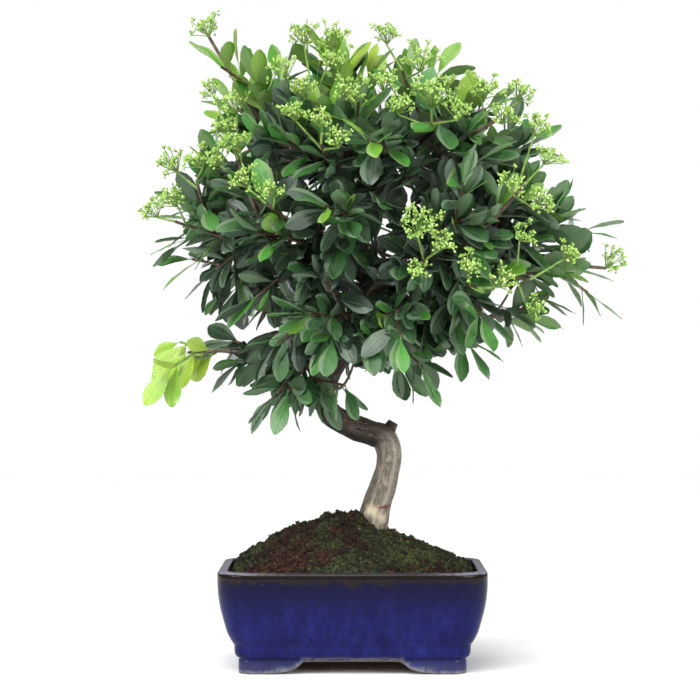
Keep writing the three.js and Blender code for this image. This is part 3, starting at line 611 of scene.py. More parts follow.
def draw_leaf(joint, angle, draw):
    """A leaf at a joint, drawn at random round its place and turned off the face of the stem that it
    takes."""
    at_end = joint.share == 1
    aim = joint.leaving(angle + TURN_CHANCE * (draw() - 0.5), END_LEAN if at_end else SIDE_LEAN)
    lift = -droop(joint.place[2]) + LIFT_CHANCE * (draw() - 0.5)
    aim = unit(aim + outwards(joint.place) * OUT_PULL + UP * lift)
    facet, facing = (0, float(aim @ joint.along)) if at_end else joint.free_face(aim)
    if facing < LEAST_FACING:
        aim = unit(aim + (joint.along if at_end else joint.normals[facet]) * (FACING_PULL - facing))
    face = outwards(joint.place) * FACE_OUT + UP * FACE_UP
    face[0] += FACE_CHANCE * (draw() - 0.5)
    face[1] += FACE_CHANCE * (draw() - 0.5)
    face = unit(face - aim * (face @ aim))
    length = between(*LEAF_LENGTH)(draw())
    half = length * between(*LEAF_WIDTH_SHARE)(draw()) / 2
    curl = LEAF_CURL * draw()
    return facet, np.concatenate([joint.place, aim, face, [length, half, curl]])


def on_leaf(leaves, share, sideways):
    """Places on leaves: a share of the length out along the aim, bent away from the face by curl times the
    share squared, and a distance across. Leaves are rows of root, aim, face, length, half width and curl."""
    root, aim, face = leaves[..., 0:3], leaves[..., 3:6], leaves[..., 6:9]
    length, curl = leaves[..., 9:10], leaves[..., 11:12]
    return root + aim * share * length - face * curl * length * share**2 + np.cross(aim, face) * sideways


def leaf_beads(leaf):
    """Beads over a leaf's blade."""
    rows = []
    for share, wide in LEAF_BEADS:
        for side in (-1, 0, 1) if wide > 0 else (0,):
            rows.append([*on_leaf(leaf, share, side * wide * leaf[10]), LEAF_BEAD_RADIUS])
    return np.array(rows)


def grow_leaves(room, joint, count, piece, draw):
    """Leaves at a joint, each the first draw that keeps clear."""
    leaves = []
    for k in range(count):
        for attempt in range(TRIES):
            facet, leaf = draw_leaf(joint, NEXT_LEAF * k + NEXT_TRY * attempt, draw)
            beads = leaf_beads(leaf)
            if room.is_clear(beads, piece, own_gap=OWN_CLEAR):
                room.claim(beads, piece)
                joint.held.add(facet)
                leaves.append(leaf)
                break
    return leaves


def grow_bud_twig(room, piece, heads):
    """A twig with its heads: the most forward head stands on its end, and the others on stalks from its
    joints."""
    lone = len(heads) == 1
    back = 0 if lone else FORK_BACK
    fork = np.mean([head["foot"] - head["axis"] * back for head in heads], axis=0)
    way = grow_twig(room, fork, between(*TWIG_RADII), piece)
    shares = [] if lone else sorted(TWIG_JOINTS[:2 if len(heads) > 3 else 1])
    shoot = Shoot(way["curve"], TWIG_RADII, [(share, 0, 0) for share in shares])
    in_turn = sorted(heads, key=lambda head: -float(unit(head["foot"] - shoot.end.place) @ shoot.end.along))
    stalks = [(shoot.end.place, in_turn[0]["foot"])]
    for head in in_turn[1:]:
        joint = max(shoot.joints, key=lambda j: j.free_face(unit(head["foot"] - j.place))[1])
        joint.held.add(joint.free_face(unit(head["foot"] - joint.place))[0])
        stalk = line(joint.place, head["foot"])
        room.claim(stem_beads(stalk, between(STALK_RADIUS, STALK_RADIUS), stalk.length()), piece)
        stalks.append((joint.place, head["foot"]))
    return {"way": way, "shoot": shoot, "heads": heads, "stalks": stalks}


def grow_tuft(room, piece, tip, index):
    """A tuft's main shoot and its side shoots."""
    draw = seeded(SEED + index)
    tip = np.array(tip, float)
    way = grow_twig(room, tip - outwards(tip) * LEAF_REACH, between(*TUFT_RADII), piece)
    main = Shoot(way["curve"], TUFT_RADII, MAIN_JOINTS)
    sides = []
    for joint, (_, shoots, _) in zip(main.joints, MAIN_JOINTS):
        for _ in range(TRIES if shoots else 0):
            aim = unit(joint.leaving(TURN * draw(), SHOOT_LEAN) + outwards(joint.place) * SHOOT_OUT)
            facet, facing = joint.free_face(aim)
            if facing < LEAST_FACING:
                aim = unit(aim + joint.normals[facet] * (FACING_PULL - facing))
            length = between(*SIDE_LENGTH)(draw())
            curve = line(joint.place, joint.place + aim * length)
            beads = stem_beads(curve, between(*SIDE_RADII), length)
            if room.is_clear(beads, piece):
                room.claim(beads, piece)
                joint.held.add(facet)
                sides.append(Shoot(curve, SIDE_RADII, SIDE_JOINTS))
                break
    return {"piece": piece, "way": way, "draw": draw, "main": main, "sides": sides}


def leaf_tuft(room, tuft):
    """A tuft's leaves in the solids: one at each shoot's end, and those of its joints."""
    leaves = []
    for shoot in [tuft["main"], *tuft["sides"]]:
        leaves += grow_leaves(room, shoot.end, 1, tuft["piece"], tuft["draw"])
        for joint, (_, _, count) in zip(shoot.joints, shoot.plans):
            leaves += grow_leaves(room, joint, count, tuft["piece"], tuft["draw"])
    return np.array(leaves)


def grow_crown():
    """All twigs, tufts and leaves of the solids, in the solids' order."""
    room = Room()
    heads = {}
    for piece, places in BUD_TWIGS.items():
        heads[piece] = []
        for x, y, z, radius in places:
            centre = np.array([x, y, z], float)
            axis = unit(outwards(centre) * HEAD_OUT + UP * HEAD_UP)
            edge = centre + rays(*across(axis, axis), HEAD_BEADS) * radius * HEAD_EDGE
            room.claim(np.array([[*centre, radius * HEAD_SIZES[0]]]), piece)
            room.claim(np.column_stack([edge, np.full(HEAD_BEADS, radius * HEAD_SIZES[1])]), piece)
            foot = centre - axis * radius * HEAD_DEPTH
            heads[piece].append({"centre": centre, "axis": axis, "radius": radius, "foot": foot})
    for limb in [*limbs, leader]:
        room.claim(stem_beads(limb.curve, limb.radius_at, limb.curve.length()), "trunk")
    bud_twigs = {piece: grow_bud_twig(room, piece, heads[piece]) for piece in BUD_TWIGS}
    tufts = [grow_tuft(room, piece, tip, index) for index, (piece, tip) in enumerate(TUFTS.items())]
    for tuft in tufts:
        tuft["leaves"] = leaf_tuft(room, tuft)
    return bud_twigs, tufts


bud_twigs, tufts = grow_crown()


# Leaves, twigs and buds as fine lofts

LEAF_STATIONS = np.array([0.0, 0.1, 0.22, 0.38, 0.55, 0.72, 0.87, 0.96, 1.0])
# A leaf's ring: places across it, from one edge over the upper face to the other edge and back underneath
LEAF_ACROSS = np.array([-1.0, -0.5, 0.0, 0.5, 1.0, 0.5, 0.0, -0.5])
LEAF_ABOVE = np.array([0.0, 0.8, 1.0, 0.8, 0.0, -0.8, -1.0, -0.8])
LEAF_UNDER = (LEAF_ABOVE + np.roll(LEAF_ABOVE, -1) < 0).astype(float)
# Along a leaf: where its stalk ends and over how much it flattens, and where its blade starts and has its
# middle
STALK_END, FLATTENS_OVER = 0.04, 0.12
BLADE_START, BLADE_MIDDLE = 0.1, 0.6
BLADE_THICK = 0.45
PETIOLE_RADIUS = 0.45
# How much blades cup and twist, how high their edges wave for the leaf's half width, how often along it, and
# how far each edge is ahead of the midrib
MOST_CUP = 0.2
TWIST = 0.22
WAVE_HEIGHT = 0.05
WAVES = 2.1
EDGE_AHEAD = 1.5
# How much twigs grow where they leave their limb, and how fast that fades along them
TWIG_COLLAR = (0.35, 14)


def blade_width(share):
    """The half width over the leaf's length, of a blade that is widest past its middle and blunt at its tip:
    the sine of pi times b to the 1.5, to the 0.65, with b from the blade's foot to its tip."""
    b = np.clip((share - BLADE_START) / (1 - BLADE_START), 0, 0.985)
    return np.sin(math.pi * b**1.5) ** 0.65


def leaf_part(leaves, tone, draw, material=0):
    """Leaves as flat lofts. Across the leaf the blade rises from its midrib by a cup times the distance, its
    edges wave, each by a sine of the way along it, and the blade turns a little about its midrib towards the
    tip."""
    count = len(leaves)
    share = LEAF_STATIONS[None, :, None, None]
    rows = leaves[:, None, None, :]
    root, aim, face = rows[..., 0:3], rows[..., 3:6], rows[..., 6:9]
    length, half, curl = rows[..., 9:10], rows[..., 10:11], rows[..., 11:12]
    cup = draw.uniform(0.0, MOST_CUP, (count, 1, 1, 1))
    phase = draw.uniform(0, TURN, (count, 1, 1, 1))
    twist = draw.normal(0, TWIST, (count, 1, 1, 1)) * share
    edge = np.cross(aim, face)
    turned_edge = edge * np.cos(twist) + face * np.sin(twist)
    turned_face = face * np.cos(twist) - edge * np.sin(twist)
    width = np.maximum(blade_width(share) * half, PETIOLE_RADIUS)
    place = LEAF_ACROSS[None, None, :, None]
    above = LEAF_ABOVE[None, None, :, None]
    turns = WAVES * TURN * share + phase + EDGE_AHEAD * np.sign(place)
    wave = WAVE_HEIGHT * half * np.abs(place) * np.sin(turns)
    blade = np.clip((share - STALK_END) / FLATTENS_OVER, 0, 1)
    thick = PETIOLE_RADIUS + (BLADE_THICK / 2 - PETIOLE_RADIUS) * blade
    lift = (cup * np.abs(place) * width + wave) * blade + above * thick
    rings = (root + aim * share * length - face * curl * length * share**2
             + turned_edge * place * width + turned_face * lift)
    uv = np.stack(np.broadcast_arrays(0.5 + 0.5 * place[..., 0], share[..., 0]), axis=-1)
    uv = np.broadcast_to(uv, (count, len(LEAF_STATIONS), len(LEAF_ACROSS), 2))
    return Part(rings[:, :, ::-1], material, {"tone": tone}, {"under": LEAF_UNDER[::-1]}, uv[:, :, ::-1])


def twig_tube(curve, radii, sides=6, steps=10):
    """A twig with a collar where it leaves its limb."""
    return tube(curve, with_collar(between(*radii), *TWIG_COLLAR), sides, steps)


# How sharply the crown's outline follows each tuft, and how far leaf tips may stand out of it
FOLLOWS = 14
OUTSIDE = 2


def crown_reach(ways):
    """How far the crown reaches along unit vectors: the tufts' reach, weighted by the exponential of a
    number times the cosine between the way and each tuft's."""
    tips = np.array(list(TUFTS.values()), float) - HEART
    far = np.linalg.norm(tips, axis=1)
    weight = np.exp(FOLLOWS * (ways @ (tips / far[:, None]).T))
    return (weight * far).sum(axis=1) / weight.sum(axis=1)


# How low leaf tips hang: the height of the crown's lower edge over the floor, at places along the front
SKIRT = ([-160, -112, -96, -81, -55, -36, -13, -2, 36, 74, 89, 127, 146, 157, 195],
         [200, 200, 196, 188, 181, 166, 177, 204, 207, 211, 230, 240, 246, 268, 288])
# Open and thin places through the crown: from one x to another, from one height to another, and the share of
# the extra leaves that grow there
THIN_PLACES = [
    (-160, -60, 244, 258, 0.0), (-115, -85, 382, 443, 0.2), (-146, -112, 261, 321, 0.2),
    (97, 127, 258, 291, 0.05), (97, 188, 225, 261, 0.1), (66, 104, 440, 480, 0.05),
    (127, 190, 258, 291, 0.3), (-25, 30, 200, 230, 0.25), (30, 70, 200, 232, 0.1),
    (-85, -55, 200, 230, 0.4), (-55, -25, 440, 480, 0.25), (-85, -55, 443, 480, 0.3),
]


def in_crown(leaves, draw):
    """Whether each leaf's tip is inside the crown's reach and over its lower edge, and chance lets it grow
    where its middle is in a thin place."""
    tips = on_leaf(leaves, 1.0, 0.0)
    middles = on_leaf(leaves, BLADE_MIDDLE, 0.0)
    far = np.linalg.norm(tips - HEART, axis=1)
    reached = far < crown_reach((tips - HEART) / far[:, None]) + OUTSIDE
    x, z = middles[:, 0], middles[:, 2]
    chance = draw.uniform(0, 1, len(leaves))
    grows = np.ones(len(leaves), bool)
    for low, high, bottom, top, share in THIN_PLACES:
        grows &= ~((x > low) & (x < high) & (z > bottom) & (z < top) & (chance >= share))
    return reached & (tips[:, 2] > np.interp(tips[:, 0], *SKIRT)) & grows


# A leaf's habit: factors for its length, its breadth and how far it hangs, and how far its face turns to the
# front
HANGING = (1.0, 1.0, 1.0, 0.0)
BROAD = (0.78, 1.5, 0.1, 1.6)
FRONT = np.array([0.0, -1.0, 0.0])
# The extra leaves' length, half width for their length, and curl, and how far apart their middles are
EXTRA_LENGTH = (22, 38)
EXTRA_HALF = (0.175, 0.23)
EXTRA_CURL = (-0.08, 0.25)
LEAF_MIDDLE = 0.55
LEAF_GAP = 5.0
# How far they lean forwards, and how much further at a shoot's end, and how much they look outwards and up
EXTRA_LEAN, END_MORE = 0.3, 0.5
EXTRA_OUT, EXTRA_UP = 0.55, 0.6
# What chance does to them: how far back from its whorl a leaf stands, the factor of its hanging, how far it
# is lifted, and how far its aim and its face turn away
BACK_CHANCE = 0.035
HANG_CHANCE = (0.5, 1.2)
RAISED = (-0.25, 0.25)
AIM_CHANCE = 0.2
LOOK_CHANCE = np.array([0.5, 0.5, 0.3])


def extra_leaves(curve, whorls, each, draw, habit=HANGING):
    """More leaves on a shoot, in whorls at shares of its way, a golden angle apart: each leans forwards,
    most at the shoot's end, and hangs as the crown's leaves do at its height. Leaves outside the crown are
    left out."""
    long, broad, hangs, shown = habit
    count = len(whorls) * each
    share = np.clip(np.repeat(whorls, each) - np.abs(draw.normal(0, BACK_CHANCE, count)), 0.02, 1)
    place = curve.at(share)
    along = curve.tangent(share)
    side, lift = across(along, curve.way())
    angle = (np.arange(count) * GOLDEN + draw.uniform(0, TURN))[:, None]
    forwards = (EXTRA_LEAN + END_MORE * share**6)[:, None]
    out = outwards(place)
    hang = -hangs * droop(place[:, 2:3]) * draw.uniform(*HANG_CHANCE, (count, 1))
    hang = hang + draw.uniform(*RAISED, (count, 1))
    aim = unit(unit((side * np.cos(angle) + lift * np.sin(angle)) * (1 - forwards) + along * forwards)
               + out * OUT_PULL + UP * hang + draw.normal(0, AIM_CHANCE, (count, 3)))
    face = out * EXTRA_OUT + UP * EXTRA_UP + FRONT * shown + draw.normal(0, 1, (count, 3)) * LOOK_CHANCE
    face = unit(face - aim * dot(face, aim))
    length = draw.uniform(*EXTRA_LENGTH, (count, 1)) * long
    half = length * draw.uniform(*EXTRA_HALF, (count, 1)) * broad
    curl = draw.uniform(*EXTRA_CURL, (count, 1))
    leaves = np.hstack([place, aim, face, length, half, curl])
    inside = in_crown(leaves, draw)
    return leaves[inside], share[inside]


def spaced(leaves, taken):
    """Leaves whose middles keep a gap from those taken and from each other, each tested in turn."""
    keep = []
    for row, middle in enumerate(on_leaf(leaves, LEAF_MIDDLE, 0.0)):
        if len(taken) == 0 or np.min(np.sum((taken - middle) ** 2, axis=1)) > LEAF_GAP**2:
            taken = np.vstack([taken, middle[None]])
            keep.append(row)
    return keep, taken


# How young a tuft's leaves are: 0 for dark old leaves, 1 for lime shoots
YOUTH = {
    "tuft_lime_left": 0.86, "tuft_top_left": 0.42, "tuft_upper_left": 0.4, "tuft_top": 0.5,
    "tuft_top_inner_left": 0.3, "tuft_top_right": 0.36, "tuft_upper_right": 0.22, "tuft_far_right": 0.3,
    "tuft_low_right_tip": 0.3, "tuft_right": 0.22, "tuft_left": 0.16, "tuft_left_shoulder": 0.22,
}
TUFT_YOUTH = 0.1
SPRAY_YOUTH = 0.02
BUD_TWIG_YOUTH = 0.18
# Whorls of extra leaves: their shares of a shoot's way, and how many leaves each has
MAIN_WHORLS = ([0.3, 0.5, 0.7, 0.86, 1.0], 6)
SIDE_WHORLS = ([0.55, 1.0], 6)
SPRAY_WHORLS = ([0.7, 1.0], 6)
BUD_TWIG_WHORLS = ([0.45, 0.7, 0.95], 5)
# The low lime shoots have broader blades, which face the front and keep only a share of their own facing
BROAD_TUFT = "tuft_lime_left"
BROADER = 1.25
OWN_FACE = 0.4
BROAD_WHORLS = ([0.62, 0.8, 1.0], 4)


# How much lighter leaves are at a shoot's end, high in the crown and at its outside, and by chance; the
# lift high up and outside is painted light, which leaves the inner leaves in painted shade
LIGHTER_END, PAINTED_LIGHT_HIGH, PAINTED_LIGHT_OUTER = 0.08, 0.1, 0.08
LIGHT_CHANCE = 0.07
# The height from which leaves grow lighter, and over how much they do
LIGHT_FROM, LIGHT_OVER = 350, 90
# How many leaves are much lighter anywhere, and how many more high up and outside, and by how much they are
FLUSHED, FLUSHED_HIGH, FLUSHED_OUTER = 0.05, 0.12, 0.1
FLUSH = (0.12, 0.5)


def leaf_tone(leaves, youth, share, draw):
    """How light each leaf is: the tuft's youth, a little more at a shoot's end, painted light high in the
    crown and at its outside, with painted shade on the inner leaves, and a few leaves much lighter."""
    high = np.clip((leaves[:, 2] - LIGHT_FROM) / LIGHT_OVER, 0, 1)
    way = on_leaf(leaves, BLADE_MIDDLE, 0.0) - HEART
    far = np.linalg.norm(way, axis=1)
    outer = np.clip(4 * far / crown_reach(way / far[:, None]) - 3, 0, 1)
    # Painted light on the crown's top and outside, painted shade inside
    light = youth + LIGHTER_END * share**3 + PAINTED_LIGHT_HIGH * high + PAINTED_LIGHT_OUTER * outer
    light = light + draw.normal(0, LIGHT_CHANCE, len(leaves))
    flushed = draw.uniform(0, 1, len(leaves)) < FLUSHED + FLUSHED_HIGH * high + FLUSHED_OUTER * outer
    light += np.where(flushed, draw.uniform(*FLUSH, len(leaves)), 0)
    return np.clip(light, 0.0, 1.0)


def add_leaves(parts, curve, whorls, youth, taken, draw, habit=HANGING, material=0):
    """One more part: the extra leaves of a shoot that keep clear of all the leaves so far. It gives back the
    places that are taken now."""
    leaves, share = extra_leaves(curve, *whorls, draw, habit)
    keep, taken = spaced(leaves, taken)
    if keep:
        tone = leaf_tone(leaves[keep], youth, share[keep], draw)
        parts.append(leaf_part(leaves[keep], tone, draw, material))
    return taken


def make_tufts(leaf, twig, stalk):
    """Each tuft's fine piece: its shoots, the leaves of the solids, and more between them. The lime tuft's
    own leaves turn to the front and are broader, and its side shoots are green."""
    taken = np.zeros((0, 3))
    for index, tuft in enumerate(tufts):
        draw = np.random.default_rng(TUFT_SEED + index)
        main = tuft["main"]
        youth = YOUTH.get(tuft["piece"], TUFT_YOUTH)
        lime = tuft["piece"] == BROAD_TUFT
        parts = [Part(twig_tube(main.curve, main.radii), 1)]
        parts += [Part(twig_tube(side.curve, side.radii), 2 if lime else 1) for side in tuft["sides"]]
        leaves = tuft["leaves"].copy()
        if lime:
            face = leaves[:, 6:9] * OWN_FACE + FRONT
            leaves[:, 6:9] = unit(face - leaves[:, 3:6] * dot(face, leaves[:, 3:6]))
            leaves[:, 10] *= BROADER
        parts.append(leaf_part(leaves, leaf_tone(leaves, youth, 1.0, draw), draw))
        taken = np.vstack([taken, on_leaf(leaves, LEAF_MIDDLE, 0.0)])
        for shoot in [main, *tuft["sides"]]:
            whorls = BROAD_WHORLS if lime else MAIN_WHORLS if shoot is main else SIDE_WHORLS
            habit = BROAD if lime else HANGING
            taken = add_leaves(parts, shoot.curve, whorls, youth, taken, draw, habit)
        materials = [leaf, twig, stalk] if lime else [leaf, twig]
        piece = mesh_object(tuft["piece"].replace("tuft", "leaves"), parts, materials, ("tone", "under"))
        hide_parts(tuft["piece"])
    return taken


# Sprays: short leafy shoots between the tufts, which close the crown
SPRAYS = 100
SPRAY_DEPTH = (0.52, 0.93)
SPRAY_RADII = (1.3, 0.9)
SECTORS = ["right", "back_right", "back_left", "left", "front_left", "front_right"]


def make_sprays(materials, taken):
    """Shoots to points spread over the sphere by the golden angle and in depth by chance, each from the
    cheapest place on a limb, gathered into one piece for each sixth of the crown seen from above."""
    draw = np.random.default_rng(SPRAY_SEED)
    level = 1 - 2 * (np.arange(SPRAYS) + 0.5) / SPRAYS
    angle = np.arange(SPRAYS) * GOLDEN
    flat = np.sqrt(1 - level**2)
    ways = np.column_stack([flat * np.cos(angle), flat * np.sin(angle), level])
    reach = crown_reach(ways) - LEAF_REACH
    tips = HEART + ways * (reach * draw.uniform(*SPRAY_DEPTH, SPRAYS))[:, None]
    parts = {sector: [] for sector in SECTORS}
    for tip, way in zip(tips, ways):
        sector = SECTORS[int((math.atan2(way[1], way[0]) % TURN) / TURN * len(SECTORS))]
        shoot = ways_to(tip)[0]["curve"]
        parts[sector].append(Part(twig_tube(shoot, SPRAY_RADII, 5, 8), 1))
        taken = add_leaves(parts[sector], shoot, SPRAY_WHORLS, SPRAY_YOUTH, taken, draw)
    for sector, made in parts.items():
        piece = mesh_object(f"inner_sprays_{sector}", made, materials, ("tone", "under"))


# Flower buds: each head is a flat-domed corymb, of round buds in small bunches on thin stalks
BUD_RADIUS = (0.65, 1.15)
BUD_LENGTH = 1.15
BUNCHES_FOR_AREA = 0.1
LEAST_BUNCHES = 6
BUNCH_BUDS = 6
# As shares of the head's radius: how far bunches stray sideways, the dome's height, how much it falls to its
# edge and stands under the head's middle, how far bunches leave it, and where their branches bend
BUNCH_SPREAD = (0.7, 1.4)
DOME = 0.4
DOME_FALL, DOME_UNDER = 0.85, 0.15
DOME_CHANCE = 0.3
BRANCH_BEND = 0.3
# How far a bud is from its bunch's middle, and how much it leans with its head
STALK_REACH = (1.3, 3.8)
BUD_LEAN = 0.9
# How light buds are at a head's edge, how much lighter in its middle, and by chance
EDGE_TONE, MIDDLE_TONE, BUD_TONE_CHANCE = 0.45, 0.25, 0.16
BUD_LATITUDES = np.array([0.16, 0.5, 0.84])
BUD_SIDES = 5
BRANCH_RADIUS = 0.3
BUD_STALK_RADIUS = 0.18


def across_each(ways):
    """Two unit vectors square to each way, turned from the upright axis or, for upright ways, from the X
    axis."""
    axis = np.where(np.abs(ways[:, 2:3]) < 0.9, UP, np.array([1.0, 0, 0]))
    side = unit(np.cross(ways, axis))
    return side, np.cross(ways, side)


def bud_part(places, ways, radii, tone, material):
    """Round buds a little longer than wide: rings at shares of the way over, with the radius times the sine
    and the cosine of pi times the share."""
    ray = rays(*across_each(ways), BUD_SIDES)[:, None]
    lat = BUD_LATITUDES[None, :, None, None] * math.pi
    size = radii[:, None, None, None]
    rings = (places[:, None, None] + ray * np.sin(lat) * size
             - ways[:, None, None] * np.cos(lat) * size * BUD_LENGTH)
    return Part(rings, material, {"tone": tone})


def stalk_part(starts, ends, bends, radius, material, sides=3, steps=2):
    """Thin stalks: quadratic curves through a bend, with rings square to their straight way."""
    share = np.linspace(0, 1, steps + 1)[None, :, None]
    middle = (starts[:, None] * (1 - share) ** 2 + bends[:, None] * 2 * share * (1 - share)
              + ends[:, None] * share**2)
    ray = rays(*across_each(unit(ends - starts)), sides)[:, None]
    return Part(middle[:, :, None] + ray * radius, material)


def head_parts(head, draw):
    """One head: bunches by the golden angle over a disc, higher in its middle as a flat dome is, each on a
    branch from the head's foot; in each bunch, buds round its middle at chance angles, each on its own
    stalk."""
    radius = head["radius"]
    count = int(BUNCHES_FOR_AREA * radius**2) + LEAST_BUNCHES
    order = np.arange(count) + 0.5
    rho = np.sqrt(order / count)
    angle = order * GOLDEN + draw.uniform(0, TURN)
    side, lift = across(head["axis"], head["axis"])
    flat = side * np.cos(angle)[:, None] + lift * np.sin(angle)[:, None]
    spread = rho * radius * draw.uniform(*BUNCH_SPREAD, count)
    dome = DOME * np.sqrt(1 - DOME_FALL * rho**2) - DOME_UNDER
    height = radius * (dome + draw.normal(0, DOME_CHANCE, count))
    bunches = head["centre"] + flat * spread[:, None] + head["axis"] * height[:, None]
    feet = np.broadcast_to(head["foot"], bunches.shape)
    bends = feet + flat * (spread * BRANCH_BEND)[:, None] + head["axis"] * radius * BRANCH_BEND
    branches = stalk_part(feet, bunches, bends, BRANCH_RADIUS, 1, 4, 3)
    start = np.repeat(bunches, BUNCH_BUDS, axis=0)
    total = len(start)
    loose = unit(draw.normal(0, 1, (total, 3)) + head["axis"] * BUD_LEAN)
    places = start + loose * draw.uniform(*STALK_REACH, (total, 1)) * (0.75 + radius / 40)
    stalks = stalk_part(start, places, (start + places) / 2, BUD_STALK_RADIUS, 1)
    lighter = MIDDLE_TONE * np.repeat(1 - rho, BUNCH_BUDS)
    tone = np.clip(EDGE_TONE + lighter + draw.normal(0, BUD_TONE_CHANCE, total), 0, 1)
    buds = bud_part(places, loose, draw.uniform(*BUD_RADIUS, total), tone, 0)
    return [buds, branches, stalks]


def make_buds(materials, taken):
    """Each bud twig's fine piece: the twig, its stalks, its heads and the leaves below them."""
    for index, (name, grown) in enumerate(bud_twigs.items()):
        draw = np.random.default_rng(BUD_SEED + index)
        parts = [Part(twig_tube(grown["way"]["curve"], TWIG_RADII), 3)]
        for start, foot in grown["stalks"]:
            parts.append(Part(tube(line(start, foot), between(1.0, 0.7), 5, 3), 1))
        for head in grown["heads"]:
            parts += head_parts(head, draw)
        curve = grown["way"]["curve"]
        taken = add_leaves(parts, curve, BUD_TWIG_WHORLS, BUD_TWIG_YOUTH, taken, draw, material=2)
        piece = mesh_object(name.replace("buds", "flower_buds"), parts, materials, ("tone", "under"))
        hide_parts(name)
    return taken


# Trunk: the solid's axis and radii, with bark

# The sides and steps of each kind of stem
TRUNK_DETAIL = (48, 300)
ROOT_DETAIL = (16, 24)
STUB_DETAIL = (20, 14)
LIMB_DETAIL = (14, 60)
LIMB_COLLAR = (0.45, 9)
# How much thicker the stub is at its foot, and thinner at its end
STUB_FLARE, STUB_TAPER = 1.6, 0.4
# The bark's swellings and folds: how far they stand out, and how long they are
SWELL, SWELL_SIZE = 0.7, 15
FOLD, FOLD_SIZE = 0.2, 3.6
# The height up to which the bark is rough, over how much it fades below that, and the least that is left
ROUGH_TO, ROUGH_OVER, LEAST_ROUGH = 300, 120, 0.25
# The bark's painted shade, darkest on the undersides of its leaning part
# How much an upright side counts as facing down, how much more an underside does, and the most of it
UPRIGHT_SHADE, UNDERSIDE_SHADE, MOST_SHADE = 0.15, 1.4, 0.95
# The foot's marks, two pale patches and a scar in a row of spots: how far each reaches from its middle,
# where that is, how soft its edge is, and its colour
PATCHES = [
    (8, [15, -9, 117], 7, "#cfc4a2"), (6, [23, -9, 111], 6, "#c4b89b"),
    (1.3, [20.0, -11.0, 119.0], 0.8, "#74493a"), (1.5, [21.5, -10.6, 119.2], 0.8, "#5c3026"),
    (1.6, [23.0, -10.0, 119.4], 0.8, "#5c3026"), (1.8, [24.6, -9.2, 119.8], 0.8, "#5c3026"),
    (1.9, [26.1, -7.9, 120.1], 0.8, "#6a3b2d"), (1.7, [27.4, -6.3, 120.4], 0.8, "#6a3b2d"),
]
# Pale streaks along the trunk, partly pale bark and partly a painted highlight down its lit side: how far
# each is to the left of the middle, in the grain's millimetres, how wide it is, and how strong. They waver
# and fray by the measures below them
PALE_STREAKS_AND_HIGHLIGHT = [(-4.6, 2.4, 0.42), (4.4, 0.9, 0.42)]
WAVER = 5.0
FRAY = 9.0


def bark_relief(points):
    """How far the bark stands out: long low swellings with fine folds on them. Both fade up the trunk, where
    the wood is thin and young."""
    old = np.clip((ROUGH_TO - points[..., 2]) / ROUGH_OVER, LEAST_ROUGH, 1)
    swell = SWELL * rough(points, SWELL_SIZE, 2, 3)
    folds = FOLD * rough(points * np.array([1.0, 1.0, 0.5]), FOLD_SIZE, 2, 11)
    return old * (swell + folds)


def bark_stem(curve, radius_at, detail, material=0):
    """A tube with the bark's relief, and its grain: for each point radius times cos a and sin a and the way
    along the stem, in millimetres, so that streaks run along every stem."""
    sides, steps = detail
    share = np.linspace(0, 1, steps + 1)
    angle = np.arange(sides) * TURN / sides
    radius = np.broadcast_to(radius_at(share), share.shape)
    along = np.broadcast_to(share[:, None] * curve.length(), (steps + 1, sides))
    grain = np.stack([np.outer(radius, np.cos(angle)), np.outer(radius, np.sin(angle)), along], axis=-1)
    return Part(tube(curve, radius_at, sides, steps, bark_relief), material), grain.reshape(-1, 3)


def make_trunk(materials):
    """The trunk, its roots, limbs and the stub of a cut branch, each a tube with relief. The attribute below
    says how far each point faces down, for the painted shade on the bark's undersides."""
    stems = [bark_stem(trunk_curve, trunk_radius, TRUNK_DETAIL)]
    stems += [bark_stem(smooth(via), between(*ROOT_RADII), ROOT_DETAIL) for via in ROOTS]
    start, end, radius = STUB
    stub_radius = between(radius + STUB_FLARE, radius - STUB_TAPER)
    stems.append(bark_stem(line(start, end), stub_radius, STUB_DETAIL, 1))
    for limb in limbs:
        stems.append(bark_stem(limb.curve, with_collar(limb.radius_at, *LIMB_COLLAR), LIMB_DETAIL))
    trunk = mesh_object("bark_trunk_and_limbs", [part for part, _ in stems], materials)
    write_attribute(trunk.data, "grain", np.concatenate([grain for _, grain in stems]))
    facing = np.zeros(len(trunk.data.vertices) * 3, np.float32)
    trunk.data.vertex_normals.foreach_get("vector", facing)
    below = UPRIGHT_SHADE - facing[2::3] * UNDERSIDE_SHADE
    write_attribute(trunk.data, "below", np.clip(below, 0, MOST_SHADE))
    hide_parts("trunk")


# Pot: the solid's profile, rounded

POT_LENGTH = 200
POT_WIDTH = 155
POT_CORNER = 28
POT_RECESS = 9.6
FOOT_RING = 13
POT_FLOOR = 16
POT_OUTSIDE = [
    [0, 16.9], [1, 16], [9.2, 15.8], [10.2, 16.6], [11.4, 16.2], [12.2, 14.4], [15, 12.9], [20.6, 12.5],
    [22.8, 11.1], [27.2, 8.5], [31.7, 6.6], [40.5, 4.1], [49.4, 1.8], [60.4, 0.3], [71, 0], [74.2, 0.5],
    [75, 1.5],
]
POT_INSIDE = [[75, 6.6], [74, 7.6], [60, 8.4], [36, 13], [22, 19], [POT_FLOOR, 25]]
LONG_ARCH = ([38, 40, 47, 63], [POT_RECESS, 4.6, 2.2, 0])
SHORT_ARCH = ([22, 24, 31, 40], [POT_RECESS, 4.6, 2.2, 0])
DRAIN_RADIUS = 8
DRAIN_X = 45
CORNER_STEPS = 14
SIDE_STEPS = 44
# How far the innermost rings of the pot's bottom and floor stand in, and how far down its inside is glazed
MIDDLE_INSETS = (69.5, 50)
GLAZED_DOWN_TO = 66
# How high over the edge of its foot the pot is still worn, and up to what height
WORN_OVER = 2.9
WORN_BELOW = 14


